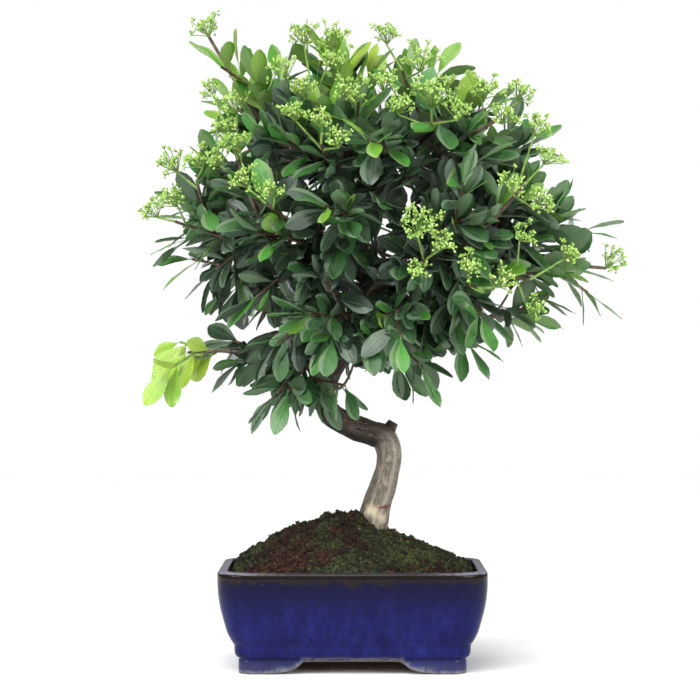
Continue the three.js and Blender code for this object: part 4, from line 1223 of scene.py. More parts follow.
def pot_ring(inset):
    """A ring in the pot's plan, standing in from its widest outline: four straight sides, each from one
    corner to the next, and a quarter circle at each corner. All rings have the same count of points."""
    radius = max(POT_CORNER - inset, 8)
    x = POT_LENGTH / 2 - inset - radius
    y = POT_WIDTH / 2 - inset - radius
    corners = [(x, y), (-x, y), (-x, -y), (x, -y)]
    ring = []
    for turn, (cx, cy) in enumerate(corners):
        angle = (turn + np.linspace(0, 1, CORNER_STEPS + 1)) * TURN / 4
        arc_points = np.column_stack([cx + radius * np.cos(angle), cy + radius * np.sin(angle)])
        nx, ny = corners[(turn + 1) % 4]
        end = np.array([nx, ny]) + radius * np.array([math.cos(angle[-1]), math.sin(angle[-1])])
        share = np.linspace(0, 1, SIDE_STEPS + 1)[1:-1, None]
        ring += [arc_points, arc_points[-1] * (1 - share) + end * share]
    return np.vstack(ring)


def foot_height(ring):
    """How high the arch between two feet stands over each point of a ring: by the distance from the middle
    of its side, and none at the corners."""
    x, y = np.abs(ring[:, 0]), np.abs(ring[:, 1])
    on_long = y / (POT_WIDTH / 2) > x / (POT_LENGTH / 2)
    return np.where(on_long, np.interp(x, *LONG_ARCH), np.interp(y, *SHORT_ARCH))


def rounded_profile(profile, steps=3):
    """The smooth curve through a profile's points."""
    curve = smooth(np.column_stack([np.array(profile, float), np.zeros(len(profile))]))
    return curve.at(np.linspace(0, 1, (len(profile) - 1) * steps + 1))[:, :2]


def make_pot(materials):
    """The pot's rings, from the middle underneath, over the feet, up the outside, over the rim and down the
    inside to the floor, each with whether it is bare clay. Below the arches' height each ring follows the
    arches. Both drain holes are bored through the floor."""
    outside, inside = rounded_profile(POT_OUTSIDE), rounded_profile(POT_INSIDE)
    foot_out = POT_OUTSIDE[0][1]
    foot_in = foot_out + FOOT_RING
    rows = [(POT_RECESS, inset, 1) for inset in (*MIDDLE_INSETS, foot_in + 0.5)]
    rows += [(POT_RECESS - 0.01, foot_in, 1), (0.9, foot_in, 1)]
    rows += [(0, foot_in - 0.9, 1), (0, foot_out + 0.6, 1)]
    rows += [(height, inset, 0) for height, inset in outside]
    rows += [(height, inset, 0 if height > GLAZED_DOWN_TO else 1) for height, inset in inside]
    rows += [(POT_FLOOR, inset, 1) for inset in reversed(MIDDLE_INSETS)]
    rings = []
    for height, inset, _ in rows:
        flat = pot_ring(inset)
        level = np.full(len(flat), float(height))
        if inset <= foot_in and height < POT_RECESS:
            level = np.maximum(level, foot_height(flat))
        rings.append(np.column_stack([flat, level]))
    wall = Part(np.array(rings)[None], ring_materials=np.array([clay for _, _, clay in rows[:-1]]))
    pot = mesh_object("glazed_pot", [wall], materials, (), 40)
    for x in (-DRAIN_X, DRAIN_X):
        bore_line = line([x, 0, POT_RECESS - 4], [x, 0, POT_FLOOR + 4])
        bore = tube(bore_line, between(DRAIN_RADIUS, DRAIN_RADIUS), 32, 1)
        cutter = mesh_object("drain_bore", [Part(bore, 1)], materials)
        cut = pot.modifiers.new("drain", "BOOLEAN")
        cut.operation = "DIFFERENCE"
        cut.object = cutter
        bpy.context.view_layer.update()
        shape = bpy.data.meshes.new_from_object(pot.evaluated_get(bpy.context.evaluated_depsgraph_get()))
        pot.modifiers.clear()
        pot.data = shape
        bpy.data.objects.remove(cutter)
    points = own_points(pot)
    over_foot = points[:, 2] - foot_height(points[:, :2])
    worn = np.where(points[:, 2] < WORN_BELOW, np.clip(1.25 - over_foot / WORN_OVER, 0, 1), 0)
    write_attribute(pot.data, "worn", worn)
    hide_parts("pot")


# Earth: the mound of the solid, with crumbs and moss

RIM_HEIGHT = 69
EARTH_INSET = 8.3
MOUND = {"x": 3, "turn": 24, "height": 46, "left": 98, "right": 95, "deep": 74, "left_power": 1.6,
         "right_power": 0.75, "edge_power": 0.8}
LUMPS = 1.6
MOUND_RINGS = 110
# The earth's underside: how far in each ring stands, how far it is drawn to the middle, and its height
EARTH_UNDER = [(26, 0.2, 18), (26, 1, 18), (12, 1, 42), (EARTH_INSET, 1, RIM_HEIGHT - 6)]
# Where the earth shows: middles and half sizes in x and y
BARE_SPOTS = [(-48, -50, 34, 10), (60, -48, 15, 9), (-20, 46, 24, 14), (50, 40, 18, 12)]


def mound_height(x, y):
    """The solid's mound over the earth at the rim: height times (1 - distance to a power) to another, where
    the power falls from the left to the right round the middle, with small lumps of two sines."""
    share = np.clip((x - MOUND["x"]) / MOUND["turn"] / 2 + 0.5, 0, 1)
    turned = share**2 * (3 - 2 * share)
    long = between(MOUND["left"], MOUND["right"])(turned)
    power = between(MOUND["left_power"], MOUND["right_power"])(turned)
    away = np.minimum(1, np.hypot((x - MOUND["x"]) / long, y / MOUND["deep"]))
    dome = MOUND["height"] * (1 - away**power) ** MOUND["edge_power"]
    lumps = np.sin(x * 0.31 + 1.3) * np.cos(y * 0.27 + 0.4) + 0.6 * np.sin(x * 0.17 - y * 0.23)
    return dome + LUMPS * lumps


def moss_share(x, y):
    """Where moss grows, from 0 to 1: nearly everywhere, ragged by noise, but not on the bare spots. A bare
    spot is exp(-(distance over its size) squared)."""
    flat = np.stack([x, y, np.zeros_like(x)], axis=-1)
    ragged = 0.6 * rough(flat, 22, 2, 41) + 0.5 * rough(flat, 5, 2, 43)
    bare = 0
    for at_x, at_y, wide, deep in BARE_SPOTS:
        bare = bare + np.exp(-((x - at_x) / wide) ** 2 - ((y - at_y) / deep) ** 2)
    return np.clip(0.75 + ragged - 1.1 * bare, 0, 1)


def earth_height(x, y):
    """The mound with clods of two sizes, crumbs and moss cushions on it, each a height times rough noise,
    and the cushions where moss grows."""
    flat = np.stack([x, y, np.zeros_like(x)], axis=-1)
    clods = 1.3 * rough(flat, 9, 2, 5) + 1.1 * rough(flat, 4.2, 2, 7)
    crumbs = 0.7 * rough(flat, 2.0, 2, 17)
    cushions = moss_share(x, y) * 0.8 * (1 + rough(flat, 6, 2, 29))
    return RIM_HEIGHT + mound_height(x, y) + clods + crumbs + cushions


def make_earth(materials):
    """The earth's surface: rings that shrink from the pot's inside to the mound's middle, with a plain
    bottom. The attribute moss says where moss grows on it."""
    rim = pot_ring(EARTH_INSET)
    rings = []
    for inset, drawn_in, height in EARTH_UNDER:
        rings.append(np.column_stack([pot_ring(inset) * drawn_in, np.full(len(rim), float(height))]))
    for ring in range(MOUND_RINGS + 1):
        shrink = 1 - 0.985 * ring / MOUND_RINGS
        x = MOUND["x"] + (rim[:, 0] - MOUND["x"]) * shrink
        y = rim[:, 1] * shrink
        edge = min(1, ring / 3)
        level = RIM_HEIGHT - 1 + edge * (earth_height(x, y) - RIM_HEIGHT + 1)
        rings.append(np.column_stack([x, y, level]))
    earth = mesh_object("mossy_earth", [Part(np.array(rings)[None])], materials, (), 180)
    points = own_points(earth)
    write_attribute(earth.data, "moss", moss_share(points[:, 0], points[:, 1]))
    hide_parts("soil")


CRUMBS = 2600
CRUMB_RADIUS = (0.5, 1.5)
# How many crumbs are large and by what factor, and, for its size, how far a crumb's middle is over the earth
# and how uneven it is
LARGE_CRUMBS, LARGER = 0.12, 1.7
CRUMB_OVER, CRUMB_UNEVEN = 0.2, 0.28
MOSS_LEAVES = 15000
MOSS_HEIGHT = (0.9, 1.9)
MOSS_RADII = (0.3, 0.05)
# How deep a moss leaf's foot is in the earth, and how far it leans
MOSS_SUNK = 0.4
MOSS_LEAN = 0.55
# How far in from the pot's outline crumbs and moss start
OPENING_INSET = 12


def mound_places(count, draw):
    """Places over the pot's opening, by chance."""
    x_end = POT_LENGTH / 2 - OPENING_INSET
    y_end = POT_WIDTH / 2 - OPENING_INSET
    return draw.uniform(-x_end, x_end, count), draw.uniform(-y_end, y_end, count)


def make_crumbs(materials):
    """Crumbs of earth: round lumps, a few of them larger, each point pushed in or out by chance."""
    draw = np.random.default_rng(CRUMB_SEED)
    x, y = mound_places(CRUMBS, draw)
    bare = moss_share(x, y) < draw.uniform(0.3, 1.0, len(x))
    x, y = x[bare], y[bare]
    size = draw.uniform(*CRUMB_RADIUS, len(x))
    size = size * np.where(draw.uniform(0, 1, len(x)) < LARGE_CRUMBS, LARGER, 1)
    places = np.column_stack([x, y, earth_height(x, y) + size * CRUMB_OVER])
    ways = unit(draw.normal(0, 1, (len(x), 3)))
    part = bud_part(places, ways, size, draw.uniform(0, 1, len(x)), 0)
    uneven = draw.uniform(-1, 1, part.rings.shape)
    part.rings = part.rings + CRUMB_UNEVEN * size[:, None, None, None] * uneven
    crumbs = mesh_object("earth_crumbs", [part], materials, ("tone",))


def make_moss(materials):
    """Moss leaves: thin three-sided points that stand on the moss patches, leaning every way."""
    draw = np.random.default_rng(MOSS_SEED)
    x, y = mound_places(MOSS_LEAVES * 2, draw)
    share = moss_share(x, y)
    grows = share > draw.uniform(0.15, 1.0, len(x))
    x, y = x[grows][:MOSS_LEAVES], y[grows][:MOSS_LEAVES]
    foot = np.column_stack([x, y, earth_height(x, y) - MOSS_SUNK])
    lean = unit(np.column_stack([draw.normal(0, MOSS_LEAN, (len(x), 2)), np.ones(len(x))]))
    tip = foot + lean * draw.uniform(*MOSS_HEIGHT, (len(x), 1))
    ray = rays(*across_each(lean), 3)
    ends = zip((foot, tip), MOSS_RADII)
    rings = np.stack([end[:, None] + ray * radius for end, radius in ends], axis=1)
    tone = np.clip(0.42 + 0.6 * noise(foot, 14, 3) + draw.normal(0, 0.2, len(x)), 0, 1)
    moss = mesh_object("moss", [Part(rings, 0, {"tone": tone})], materials, ("tone",), 180)


# Materials


def linear(colour):
    """A colour from sRGB hex to linear, as the shader takes it."""
    channels = [int(colour[k : k + 2], 16) / 255 for k in (1, 3, 5)]
    return [c / 12.92 if c <= 0.04045 else ((c + 0.055) / 1.055) ** 2.4 for c in channels] + [1.0]


def add(tree, kind, inputs=(), out=0, stops=(), **settings):
    """A node with its settings and links. Its inputs come in order or by name, each a number, a colour in
    sRGB hex or the output of another node, and stops are a colour ramp's places and colours. It gives back
    one output."""
    node = tree.nodes.new("ShaderNode" + kind)
    for key, value in settings.items():
        setattr(node, key, value)
    for key, value in inputs.items() if isinstance(inputs, dict) else enumerate(inputs):
        if isinstance(value, bpy.types.NodeSocket):
            tree.links.new(value, node.inputs[key])
        else:
            node.inputs[key].default_value = linear(value) if isinstance(value, str) else value
    for _ in stops[2:]:
        node.color_ramp.elements.new(1.0)
    for (place, colour), element in zip(stops, node.color_ramp.elements if stops else ()):
        element.position = place
        element.color = linear(colour)
    return node.outputs[out] if node.outputs else None


# A mix of colours has its share and two colours at these places, and a map range, which eases from one value
# to another, takes the value, the two ends that it comes from and the two that it goes to
SHARE, FIRST, SECOND = 0, 6, 7
COLOURS = {"data_type": "RGBA", "out": 2}
EASED = {"interpolation_type": "SMOOTHSTEP"}


def new_tree(name):
    """An empty node material with its tree."""
    material = bpy.data.materials.new(name)
    material.use_nodes = True
    material.node_tree.nodes.clear()
    return material, material.node_tree


def surface(tree, inputs):
    """The one shader of a material and its output."""
    shader = add(tree, "BsdfPrincipled", inputs)
    add(tree, "OutputMaterial", {"Surface": shader})


def cloud(tree, size_mm, detail=3.0, roughness=0.55, stretch=(1, 1, 1), grain=None):
    """Fractal noise from about 0.25 to 0.75, of lumps of so many millimetres, in the object's own
    coordinates or in a grain that is counted in millimetres."""
    place = grain or add(tree, "TexCoord", out="Object")
    unit_size = 1.0 if grain else MM
    size = [1 / (unit_size * size_mm * s) for s in stretch]
    scaled = add(tree, "Mapping", {"Vector": place, "Scale": size})
    return add(tree, "TexNoise", {"Vector": scaled, "Scale": 1.0, "Detail": detail, "Roughness": roughness})


def coated(tree, colour, coats):
    """Colours laid one over another. Each coat has its colour and then the shares whose product says how
    much of it there is, each a node's output or the row of a map range."""
    for over, *shares in coats:
        share = None
        for part in shares:
            if isinstance(part, tuple):
                part = add(tree, "MapRange", part, **EASED)
            share = part if share is None else add(tree, "Math", [share, part], operation="MULTIPLY")
        colour = add(tree, "Mix", {SHARE: share, FIRST: colour, SECOND: over}, **COLOURS)
    return colour


def leaf_material():
    """Firethorn leaf: a waxed, leathery blade, deep green above and paler grey-green below. The wax gives a
    soft wide highlight over the dark green; the midrib is a pale line, and side veins show as low relief.
    Young blades are lime."""
    material, tree = new_tree("waxed_firethorn_leaf")
    tone = add(tree, "Attribute", out="Fac", attribute_name="tone")
    under = add(tree, "Attribute", out="Fac", attribute_name="under")
    uv = add(tree, "UVMap", uv_map="surface")
    across_blade = add(tree, "SeparateXYZ", [uv], "X")
    along_blade = add(tree, "SeparateXYZ", [uv], "Y")
    from_rib = add(tree, "Math", [across_blade, 0.5], operation="SUBTRACT")
    off_rib = add(tree, "Math", [from_rib], operation="ABSOLUTE")
    mottle = add(tree, "Math", [cloud(tree, 9, 2.0), 0.24, -0.12], operation="MULTIPLY_ADD")
    # The leaf's tone: its youth, with painted light high in the crown and at its outside
    youth_and_painted_light = add(tree, "Math", [tone, mottle], operation="ADD")
    above = add(tree, "ValToRGB", [youth_and_painted_light], stops=[
        (0.0, "#202e23"), (0.12, "#2f4132"), (0.26, "#365f31"), (0.45, "#498936"), (0.7, "#68992f"),
        (0.86, "#7da936"), (1.0, "#93b03a"),
    ])
    below = add(tree, "ValToRGB", [youth_and_painted_light], stops=[
        (0.0, "#495b4c"), (0.3, "#617d58"), (0.6, "#7a9d54"), (1.0, "#97b951"),
    ])
    colour = coated(tree, above, [("#6a8450", (off_rib, 0.01, 0.03, 0.34, 0.0)), (below, under)])
    slant = add(tree, "Math", [off_rib, -26.0], operation="MULTIPLY")
    herringbone = add(tree, "Math", [along_blade, 62.0, slant], operation="MULTIPLY_ADD")
    veins = add(tree, "Math", [herringbone], operation="SINE")
    groove = add(tree, "MapRange", [off_rib, 0.0, 0.06, 0.0, 2.2], **EASED)
    height = add(tree, "Math", [veins, 0.16, groove], operation="MULTIPLY_ADD")
    wax = add(tree, "MapRange", [under, 0.0, 1.0, 0.3, 0.58])
    surface(tree, {
        "Base Color": colour, "Roughness": add(tree, "Math", [wax, mottle], operation="ADD"), "IOR": 1.45,
        "Coat Weight": 0.12, "Coat Roughness": 0.16,
        "Normal": add(tree, "Bump", {"Height": height, "Distance": 0.1 * MM, "Strength": 0.6}),
    })
    return material


def twig_material():
    """Young firethorn bark: thin, reddish brown and satin, with grey bloom in patches. It gives the warm
    thin lines between the leaves."""
    material, tree = new_tree("young_firethorn_bark")
    colour = add(tree, "ValToRGB", [cloud(tree, 6)], stops=[
        (0.3, "#33241c"), (0.5, "#4f3b2d"), (0.68, "#71604f"),
    ])
    surface(tree, {
        "Base Color": colour, "Roughness": 0.55, "IOR": 1.5,
        "Normal": add(tree, "Bump", {"Height": cloud(tree, 1.4, 2.0), "Distance": 0.25 * MM}),
    })
    return material


def bud_material():
    """Closed flower buds: waxy, round and light green, paler in the middle of a head. They catch small soft
    lights."""
    material, tree = new_tree("waxy_flower_bud")
    tone = add(tree, "Attribute", out="Fac", attribute_name="tone")
    mottle = add(tree, "Math", [cloud(tree, 2.2, 1.0), 0.4, -0.2], operation="MULTIPLY_ADD")
    shade = add(tree, "Math", [tone, mottle], operation="ADD")
    colour = add(tree, "ValToRGB", [shade], stops=[
        (0.0, "#5e8334"), (0.4, "#88ae4c"), (0.7, "#a9ca6b"), (1.0, "#cfdf9c"),
    ])
    surface(tree, {
        "Base Color": colour, "Roughness": 0.42, "IOR": 1.45, "Subsurface Weight": 0.12,
        "Subsurface Radius": [0.002, 0.002, 0.0006], "Subsurface Scale": 0.6,
    })
    return material


def stalk_material():
    """Flower stalks: thin, matt, downy light green."""
    material, tree = new_tree("downy_flower_stalk")
    colour = add(tree, "ValToRGB", [cloud(tree, 4, 1.0)], stops=[(0.35, "#5c7a33"), (0.6, "#7b9a4a")])
    surface(tree, {"Base Color": colour, "Roughness": 0.65, "IOR": 1.45})
    return material


def bark_material():
    """Firethorn bark: thin, tight and matt, grey-brown with pale grey streaks along the stem, partly pale
    bark and partly a painted highlight down its lit side, short dark pores across it, and cream patches
    under a red-brown scar at the foot. The leaning part is darker and browner, with painted shade on its
    underside."""
    material, tree = new_tree("streaked_firethorn_bark")
    grain = add(tree, "Attribute", out="Vector", attribute_name="grain")
    place = add(tree, "TexCoord", out="Object")
    height = add(tree, "SeparateXYZ", [place], "Z")
    streaks = cloud(tree, 2.6, 5.0, 0.62, (1, 1, 4), grain)
    broad = cloud(tree, 15, 3.0, 0.55, (1, 1, 2.5), grain)
    fine = cloud(tree, 0.9, 3.0, 0.6, (1, 1, 5), grain)
    pores = cloud(tree, 1.5, 1.0, 0.5, (2.6, 2.6, 0.8), grain)
    fray = cloud(tree, 4, 4.0, 0.65, (1, 1, 1.6), grain)
    grey = add(tree, "ValToRGB", [streaks], stops=[
        (0.30, "#443c33"), (0.43, "#60574d"), (0.55, "#776d61"), (0.66, "#958a7d"),
    ])
    brown = add(tree, "ValToRGB", [streaks], stops=[
        (0.30, "#1f1814"), (0.44, "#332923"), (0.57, "#483c34"), (0.70, "#65594e"),
    ])
    along = add(tree, "SeparateXYZ", [grain], "Z")
    past_bend = add(tree, "MapRange", [along, 124.0, 160.0], **EASED)
    upper = add(tree, "MapRange", [height, 0.185, 0.2], **EASED)
    leaning = add(tree, "Math", [past_bend, upper], operation="MAXIMUM")
    upright = add(tree, "Math", [1.0, leaning], operation="SUBTRACT")
    pore = add(tree, "MapRange", [pores, 0.66, 0.71, 0.0, 0.75], **EASED)
    below = add(tree, "Attribute", out="Fac", attribute_name="below")
    leftwards = add(tree, "SeparateXYZ", [grain], "X")
    wavering = add(tree, "Math", [broad, WAVER, leftwards], operation="MULTIPLY_ADD")
    # Pale streaks, partly pale bark and partly a painted highlight down the trunk's lit side
    streaks_and_highlight = []
    for middle, width, share in PALE_STREAKS_AND_HIGHLIGHT:
        off_mark = add(tree, "Math", [wavering, middle + WAVER / 2], operation="SUBTRACT")
        from_mark = add(tree, "Math", [off_mark], operation="ABSOLUTE")
        frayed = add(tree, "Math", [streaks, FRAY, from_mark], operation="MULTIPLY_ADD")
        streaks_and_highlight.append(("#c4bbae", (frayed, width + FRAY / 2, 4.0, 0.0, share), upright))
    patches = []
    for size, spot, edge, tint in PATCHES:
        spot_place = POT_CENTRE + np.array(spot) * MM
        there = add(tree, "VectorMath", [place, spot_place], "Value", operation="DISTANCE")
        ragged = add(tree, "Math", [fray, 1.2 * size * MM, there], operation="MULTIPLY_ADD")
        reach = 1.6 * size
        patches.append((tint, (ragged, reach * MM, (reach - edge) * MM, 0.0, 0.85)))
    colour = coated(tree, grey, [
        (brown, leaning),
        # Grey bloom, dark lines, pale splits and pores
        ("#9a8f80", (broad, 0.5, 0.68, 0.0, 0.3)),
        ("#2f2620", (fine, 0.42, 0.33, 0.0, 0.35)),
        ("#bdb2a3", (fine, 0.6, 0.7, 0.0, 0.35)),
        ("#241b16", pore),
        *streaks_and_highlight,
        # The shady left side
        ("#3f372f", (wavering, 5.5, 11.0, 0.0, 0.45)),
        *patches,
        # Painted shade on the underside of the leaning part
        ("#0f0c09", below, leaning),
    ])
    ridges = add(tree, "Math", [streaks, 1.4, fine], operation="MULTIPLY_ADD")
    pitted = add(tree, "Math", [pore, -0.4, ridges], operation="MULTIPLY_ADD")
    surface(tree, {
        "Base Color": colour, "Roughness": 0.74, "IOR": 1.5, "Specular IOR Level": 0.4,
        "Normal": add(tree, "Bump", {"Height": pitted, "Distance": 0.6 * MM, "Strength": 0.8}),
    })
    return material


def cut_wood_material():
    """A cut branch stub that has dried and weathered dark: end grain nearly black, with a dull rim."""
    material, tree = new_tree("weathered_cut_wood")
    colour = add(tree, "ValToRGB", [cloud(tree, 3, 4.0)], stops=[
        (0.35, "#1e1813"), (0.55, "#3d332a"), (0.7, "#685a49"),
    ])
    surface(tree, {
        "Base Color": colour, "Roughness": 0.88, "IOR": 1.5, "Specular IOR Level": 0.25,
        "Normal": add(tree, "Bump", {"Height": cloud(tree, 1.5), "Distance": 0.8 * MM}),
    })
    return material


def earth_material():
    """Crumbly potting earth, peat and fired clay grit, damp in places: black-brown, reddish where it is
    bare, with a few pale specks, and under a thin dark olive felt of moss where the moss attribute says."""
    material, tree = new_tree("crumbly_peat_earth")
    moss = add(tree, "Attribute", out="Fac", attribute_name="moss")
    grains = cloud(tree, 2.4, 5.0, 0.68)
    lumps = cloud(tree, 6.5, 4.0, 0.6)
    bare = add(tree, "ValToRGB", [grains], stops=[
        (0.32, "#110c09"), (0.46, "#251811"), (0.58, "#3c281d"), (0.70, "#594133"),
    ])
    felt = add(tree, "ValToRGB", [grains], stops=[
        (0.32, "#0d0e08"), (0.46, "#22251a"), (0.6, "#3d4128"), (0.74, "#626842"),
    ])
    frayed = add(tree, "Math", [lumps, 1.1, -0.55], operation="MULTIPLY_ADD")
    covered = add(tree, "Math", [moss, frayed], operation="ADD")
    specks = (cloud(tree, 1.3, 1.0), 0.72, 0.76, 0.0, 0.7)
    colour = coated(tree, bare, [(felt, (covered, 0.3, 0.62)), ("#8d7c62", specks)])
    surface(tree, {
        "Base Color": colour, "Roughness": 0.94, "IOR": 1.4, "Specular IOR Level": 0.2,
        "Normal": add(tree, "Bump", {"Height": grains, "Distance": 1.5 * MM}),
    })
    return material


def crumb_material():
    """Loose crumbs: fired clay grit and peat, each of its own shade from nearly black through red-brown to a
    few pale ones."""
    material, tree = new_tree("fired_clay_grit")
    tone = add(tree, "Attribute", out="Fac", attribute_name="tone")
    shade = add(tree, "ValToRGB", [tone], stops=[
        (0.0, "#0e0a07"), (0.45, "#20150e"), (0.8, "#352116"), (0.97, "#4f3929"), (1.0, "#85765e"),
    ])
    colour = coated(tree, shade, [("#1c1510", cloud(tree, 1.2))])
    surface(tree, {
        "Base Color": colour, "Roughness": 0.9, "IOR": 1.5, "Specular IOR Level": 0.25,
        "Normal": add(tree, "Bump", {"Height": cloud(tree, 0.8, 2.0), "Distance": 0.4 * MM}),
    })
    return material


def moss_material():
    """Moss: tiny matt leaves, dark olive in the cushions and yellow-green at their tops."""
    material, tree = new_tree("cushion_moss")
    tone = add(tree, "Attribute", out="Fac", attribute_name="tone")
    colour = add(tree, "ValToRGB", [tone], stops=[
        (0.0, "#15180e"), (0.45, "#2b301c"), (0.75, "#494f2b"), (1.0, "#7c8544"),
    ])
    surface(tree, {"Base Color": colour, "Roughness": 0.85, "IOR": 1.4, "Specular IOR Level": 0.2})
    return material


def glaze_material():
    """Cobalt glaze on stoneware, fired glossy: it ran down in darker streaks, burnt to brown-black under the
    rim with rusty specks, carries a painted grey-lavender highlight along the rim's edge, most at the
    corners, and is dull over the feet and worn to grey along their edges. It gives a deep blue with narrow
    lights at the corners."""
    material, tree = new_tree("cobalt_glazed_stoneware")
    place = add(tree, "TexCoord", out="Object")
    height = add(tree, "SeparateXYZ", [place], "Z")
    sideways = add(tree, "SeparateXYZ", [place], "X")
    off_middle = add(tree, "Math", [sideways, float(POT_CENTRE[0])], operation="SUBTRACT")
    to_corner = add(tree, "Math", [off_middle], operation="ABSOLUTE")
    worn_edge = add(tree, "Attribute", out="Fac", attribute_name="worn")
    streaks = cloud(tree, 12, 5.0, 0.6, (1, 1, 3))
    mottle = cloud(tree, 3.5, 5.0, 0.62, (1, 1, 1.6))
    blue = add(tree, "ValToRGB", [streaks], stops=[
        (0.32, "#0d0f42"), (0.45, "#12154c"), (0.55, "#161a55"), (0.66, "#1b2060"),
    ])
    run = add(tree, "Math", [streaks, 16 * MM, height], operation="MULTIPLY_ADD")
    rubbed = add(tree, "MapRange", [mottle, 0.38, 0.55, 0.3], **EASED)
    worn = add(tree, "Math", [worn_edge, rubbed], operation="MULTIPLY")
    colour = coated(tree, blue, [
        # Dark clouds, the dark upper side and the burnt rim, with rusty specks near it; heights are in
        # metres
        ("#0c0e39", (mottle, 0.42, 0.64, 0.0, 0.5)),
        ("#060620", (run, 0.044, 0.078, 0.0, 0.9)),
        ("#1c1614", (run, 0.073, 0.079, 0.0, 0.95)),
        ("#4b4a2e", (cloud(tree, 1.3, 2.0), 0.68, 0.73), (height, 0.062, 0.069)),
        # Painted highlight along the rim's edge, strongest at the corners
        ("#8a8496", (height, 0.0735, 0.0748), (to_corner, 0.045, 0.1, 0.12, 0.9),
         (mottle, 0.34, 0.52, 0.35)),
        # The feet: dull, worn, and bare clay at their edge
        ("#5b5b63", (height, 0.0135, 0.009, 0.0, 0.16)),
        ("#787a80", worn),
        ("#4d463f", (worn_edge, 0.86, 0.98, 0.0, 0.85)),
    ])
    uneven = add(tree, "Math", [mottle, 0.16, 0.03], operation="MULTIPLY_ADD")
    dulled = add(tree, "Math", [worn, 0.4, uneven], operation="MULTIPLY_ADD")
    waves = add(tree, "Math", [cloud(tree, 34, 2.0), 1.5, streaks], operation="MULTIPLY_ADD")
    surface(tree, {
        "Base Color": colour, "Roughness": dulled, "IOR": 1.5, "Specular IOR Level": 0.02,
        "Coat Weight": 0.18, "Coat Roughness": 0.03,
        "Normal": add(tree, "Bump", {"Height": waves, "Distance": 0.45 * MM, "Strength": 0.5}),
    })
    return material


def clay_material():
    """Bare fired clay under the pot and inside it: matt, grey-brown, with dark iron specks."""
    material, tree = new_tree("bare_fired_clay")
    body = add(tree, "ValToRGB", [cloud(tree, 11, 4.0)], stops=[
        (0.35, "#5f4c3f"), (0.5, "#7d6653"), (0.66, "#9a826d"),
    ])
    iron = (cloud(tree, 0.9, 2.0), 0.64, 0.7)
    surface(tree, {
        "Base Color": coated(tree, body, [("#30241d", iron)]),
        "Roughness": 0.86, "IOR": 1.5, "Specular IOR Level": 0.3,
        "Normal": add(tree, "Bump", {"Height": cloud(tree, 0.9), "Distance": 0.3 * MM}),
    })
    return material


def mesh_material():
    """Black plastic mesh over the drain holes: moulded, satin, with earth dust in patches."""
    material, tree = new_tree("moulded_plastic_mesh")
    colour = add(tree, "ValToRGB", [cloud(tree, 4)], stops=[(0.45, "#1e1e1d"), (0.7, "#4a3d31")])
    surface(tree, {
        "Base Color": colour, "Roughness": 0.5, "IOR": 1.46,
        "Normal": add(tree, "Bump", {"Height": cloud(tree, 0.7, 2.0), "Distance": 0.1 * MM}),
    })
    return material


def dress():
    """All pieces with their materials."""
    leaf, twig, bud, stalk = leaf_material(), twig_material(), bud_material(), stalk_material()
    glaze, clay = glaze_material(), clay_material()
    make_pot([glaze, clay])
    plastic = mesh_material()
    for node in ("drain_mesh_left", "drain_mesh_right"):
        for slot in bpy.data.objects[node].material_slots:
            slot.material = plastic
    make_earth([earth_material()])
    make_crumbs([crumb_material()])
    make_moss([moss_material()])
    make_trunk([bark_material(), cut_wood_material()])
    taken = make_tufts(leaf, twig, stalk)
    taken = make_buds([bud, stalk, leaf, twig], taken)
    make_sprays([leaf, twig], taken)


# Studio, in metres: a pale floor, a white surround, soft lights round the pot and over it, and a camera that
# looks level at the middle of the tree

CAMERA_DISTANCE = 1.887
CAMERA_HEIGHT = 0.238
CAMERA_LEFT = 0.0019
LENS = 128.06
SENSOR = 36.0
FAR_CLIP = 20
FLOOR_RADIUS = 3.0
FLOOR_SIDES = 96
SURROUND_LIGHT = 0.22
# The soft lights: where each is from the pot's middle and over the floor, how wide and high it is, and its
# watts
LIGHTS = {
    "key": ((-0.5, -1.6, 1.6), (1.2, 1.2), 25), "fill": ((1.3, -1.3, 0.9), (1.2, 1.2), 9),
    "strip_left": ((-1.36, -0.85, 0.37), (1.0, 0.1), 9), "strip_right": ((1.36, -0.85, 0.37), (1.0, 0.1), 9),
    "rim_left": ((-1.0, 0.8, 0.5), (0.5, 0.5), 3), "rim_right": ((1.0, 0.8, 0.5), (0.5, 0.5), 3),
}
LIGHT_AIM = 0.24
# The overhead light: its strength, the width of the sky that it comes from and how far it leans back and to
# one side, in degrees
OVERHEAD = (2.9, 75, (22, -10))


def floor_material():
    """Matt white studio paper with the faintest tooth."""
    material, tree = new_tree("matt_studio_paper")
    colour = add(tree, "ValToRGB", [cloud(tree, 60, 2.0)], stops=[(0.4, "#f5f5f4"), (0.6, "#f9f9f8")])
    surface(tree, {"Base Color": colour, "Roughness": 0.9, "IOR": 1.5, "Specular IOR Level": 0.2})
    return material


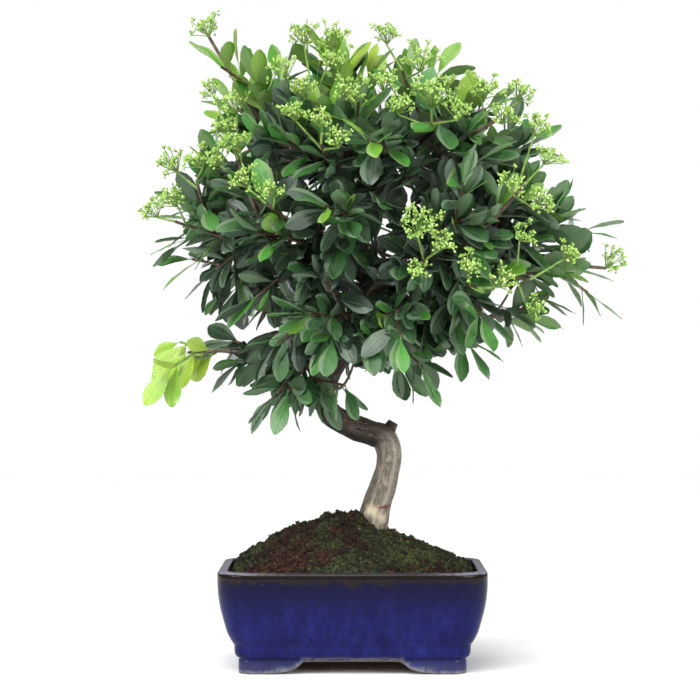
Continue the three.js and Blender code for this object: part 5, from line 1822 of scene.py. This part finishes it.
def make_floor():
    """A round floor, far wider than the view."""
    turn = np.linspace(0, TURN, FLOOR_SIDES, endpoint=False)
    level = np.full(FLOOR_SIDES, float(POT_CENTRE[2]))
    points = np.column_stack([FLOOR_RADIUS * np.cos(turn), FLOOR_RADIUS * np.sin(turn), level])
    mesh = bpy.data.meshes.new("studio_floor")
    mesh.from_pydata([tuple(p) for p in points], [], [tuple(range(FLOOR_SIDES))])
    mesh.materials.append(floor_material())
    put("studio_floor", mesh)


def make_lights(x, y):
    """The soft lights, each facing the middle of the tree over the pot, and the light overhead."""
    for name, ((right, back, up), size, power) in LIGHTS.items():
        light = bpy.data.lights.new(name, "AREA")
        light.shape = "RECTANGLE"
        light.size, light.size_y = size
        light.energy = power
        place = mathutils.Vector((x + right, y + back, up))
        lamp = put(name, light)
        lamp.location = place
        towards = mathutils.Vector((x, y, LIGHT_AIM)) - place
        lamp.rotation_euler = towards.to_track_quat("-Z", "Y").to_euler()
    power, width, lean = OVERHEAD
    overhead = bpy.data.lights.new("overhead", "SUN")
    overhead.energy = power
    overhead.angle = math.radians(width)
    back, sideways = lean
    put("overhead", overhead).rotation_euler = (math.radians(back), math.radians(sideways), 0)


def make_studio():
    """The floor, the surround, the lights and the camera."""
    make_floor()
    world = bpy.data.worlds.new("white_surround")
    world.use_nodes = True
    tree = world.node_tree
    tree.nodes.clear()
    seen = add(tree, "LightPath", out="Is Camera Ray")
    strength = add(tree, "MapRange", [seen, 0.0, 1.0, SURROUND_LIGHT, 1.0])
    white = add(tree, "Background", {"Color": "#ffffff", "Strength": strength})
    add(tree, "OutputWorld", {"Surface": white})
    bpy.context.scene.world = world
    x, y, _ = POT_CENTRE
    make_lights(x, y)
    camera_data = bpy.data.cameras.new("camera")
    camera_data.lens = LENS
    camera_data.sensor_width = SENSOR
    camera_data.clip_end = FAR_CLIP
    camera = put("camera", camera_data)
    camera.location = (x - CAMERA_LEFT, y - CAMERA_DISTANCE, CAMERA_HEIGHT)
    camera.rotation_euler = (TURN / 4, 0, 0)
    bpy.context.scene.camera = camera
    bpy.context.scene.view_settings.view_transform = "Standard"


dress()
make_studio()
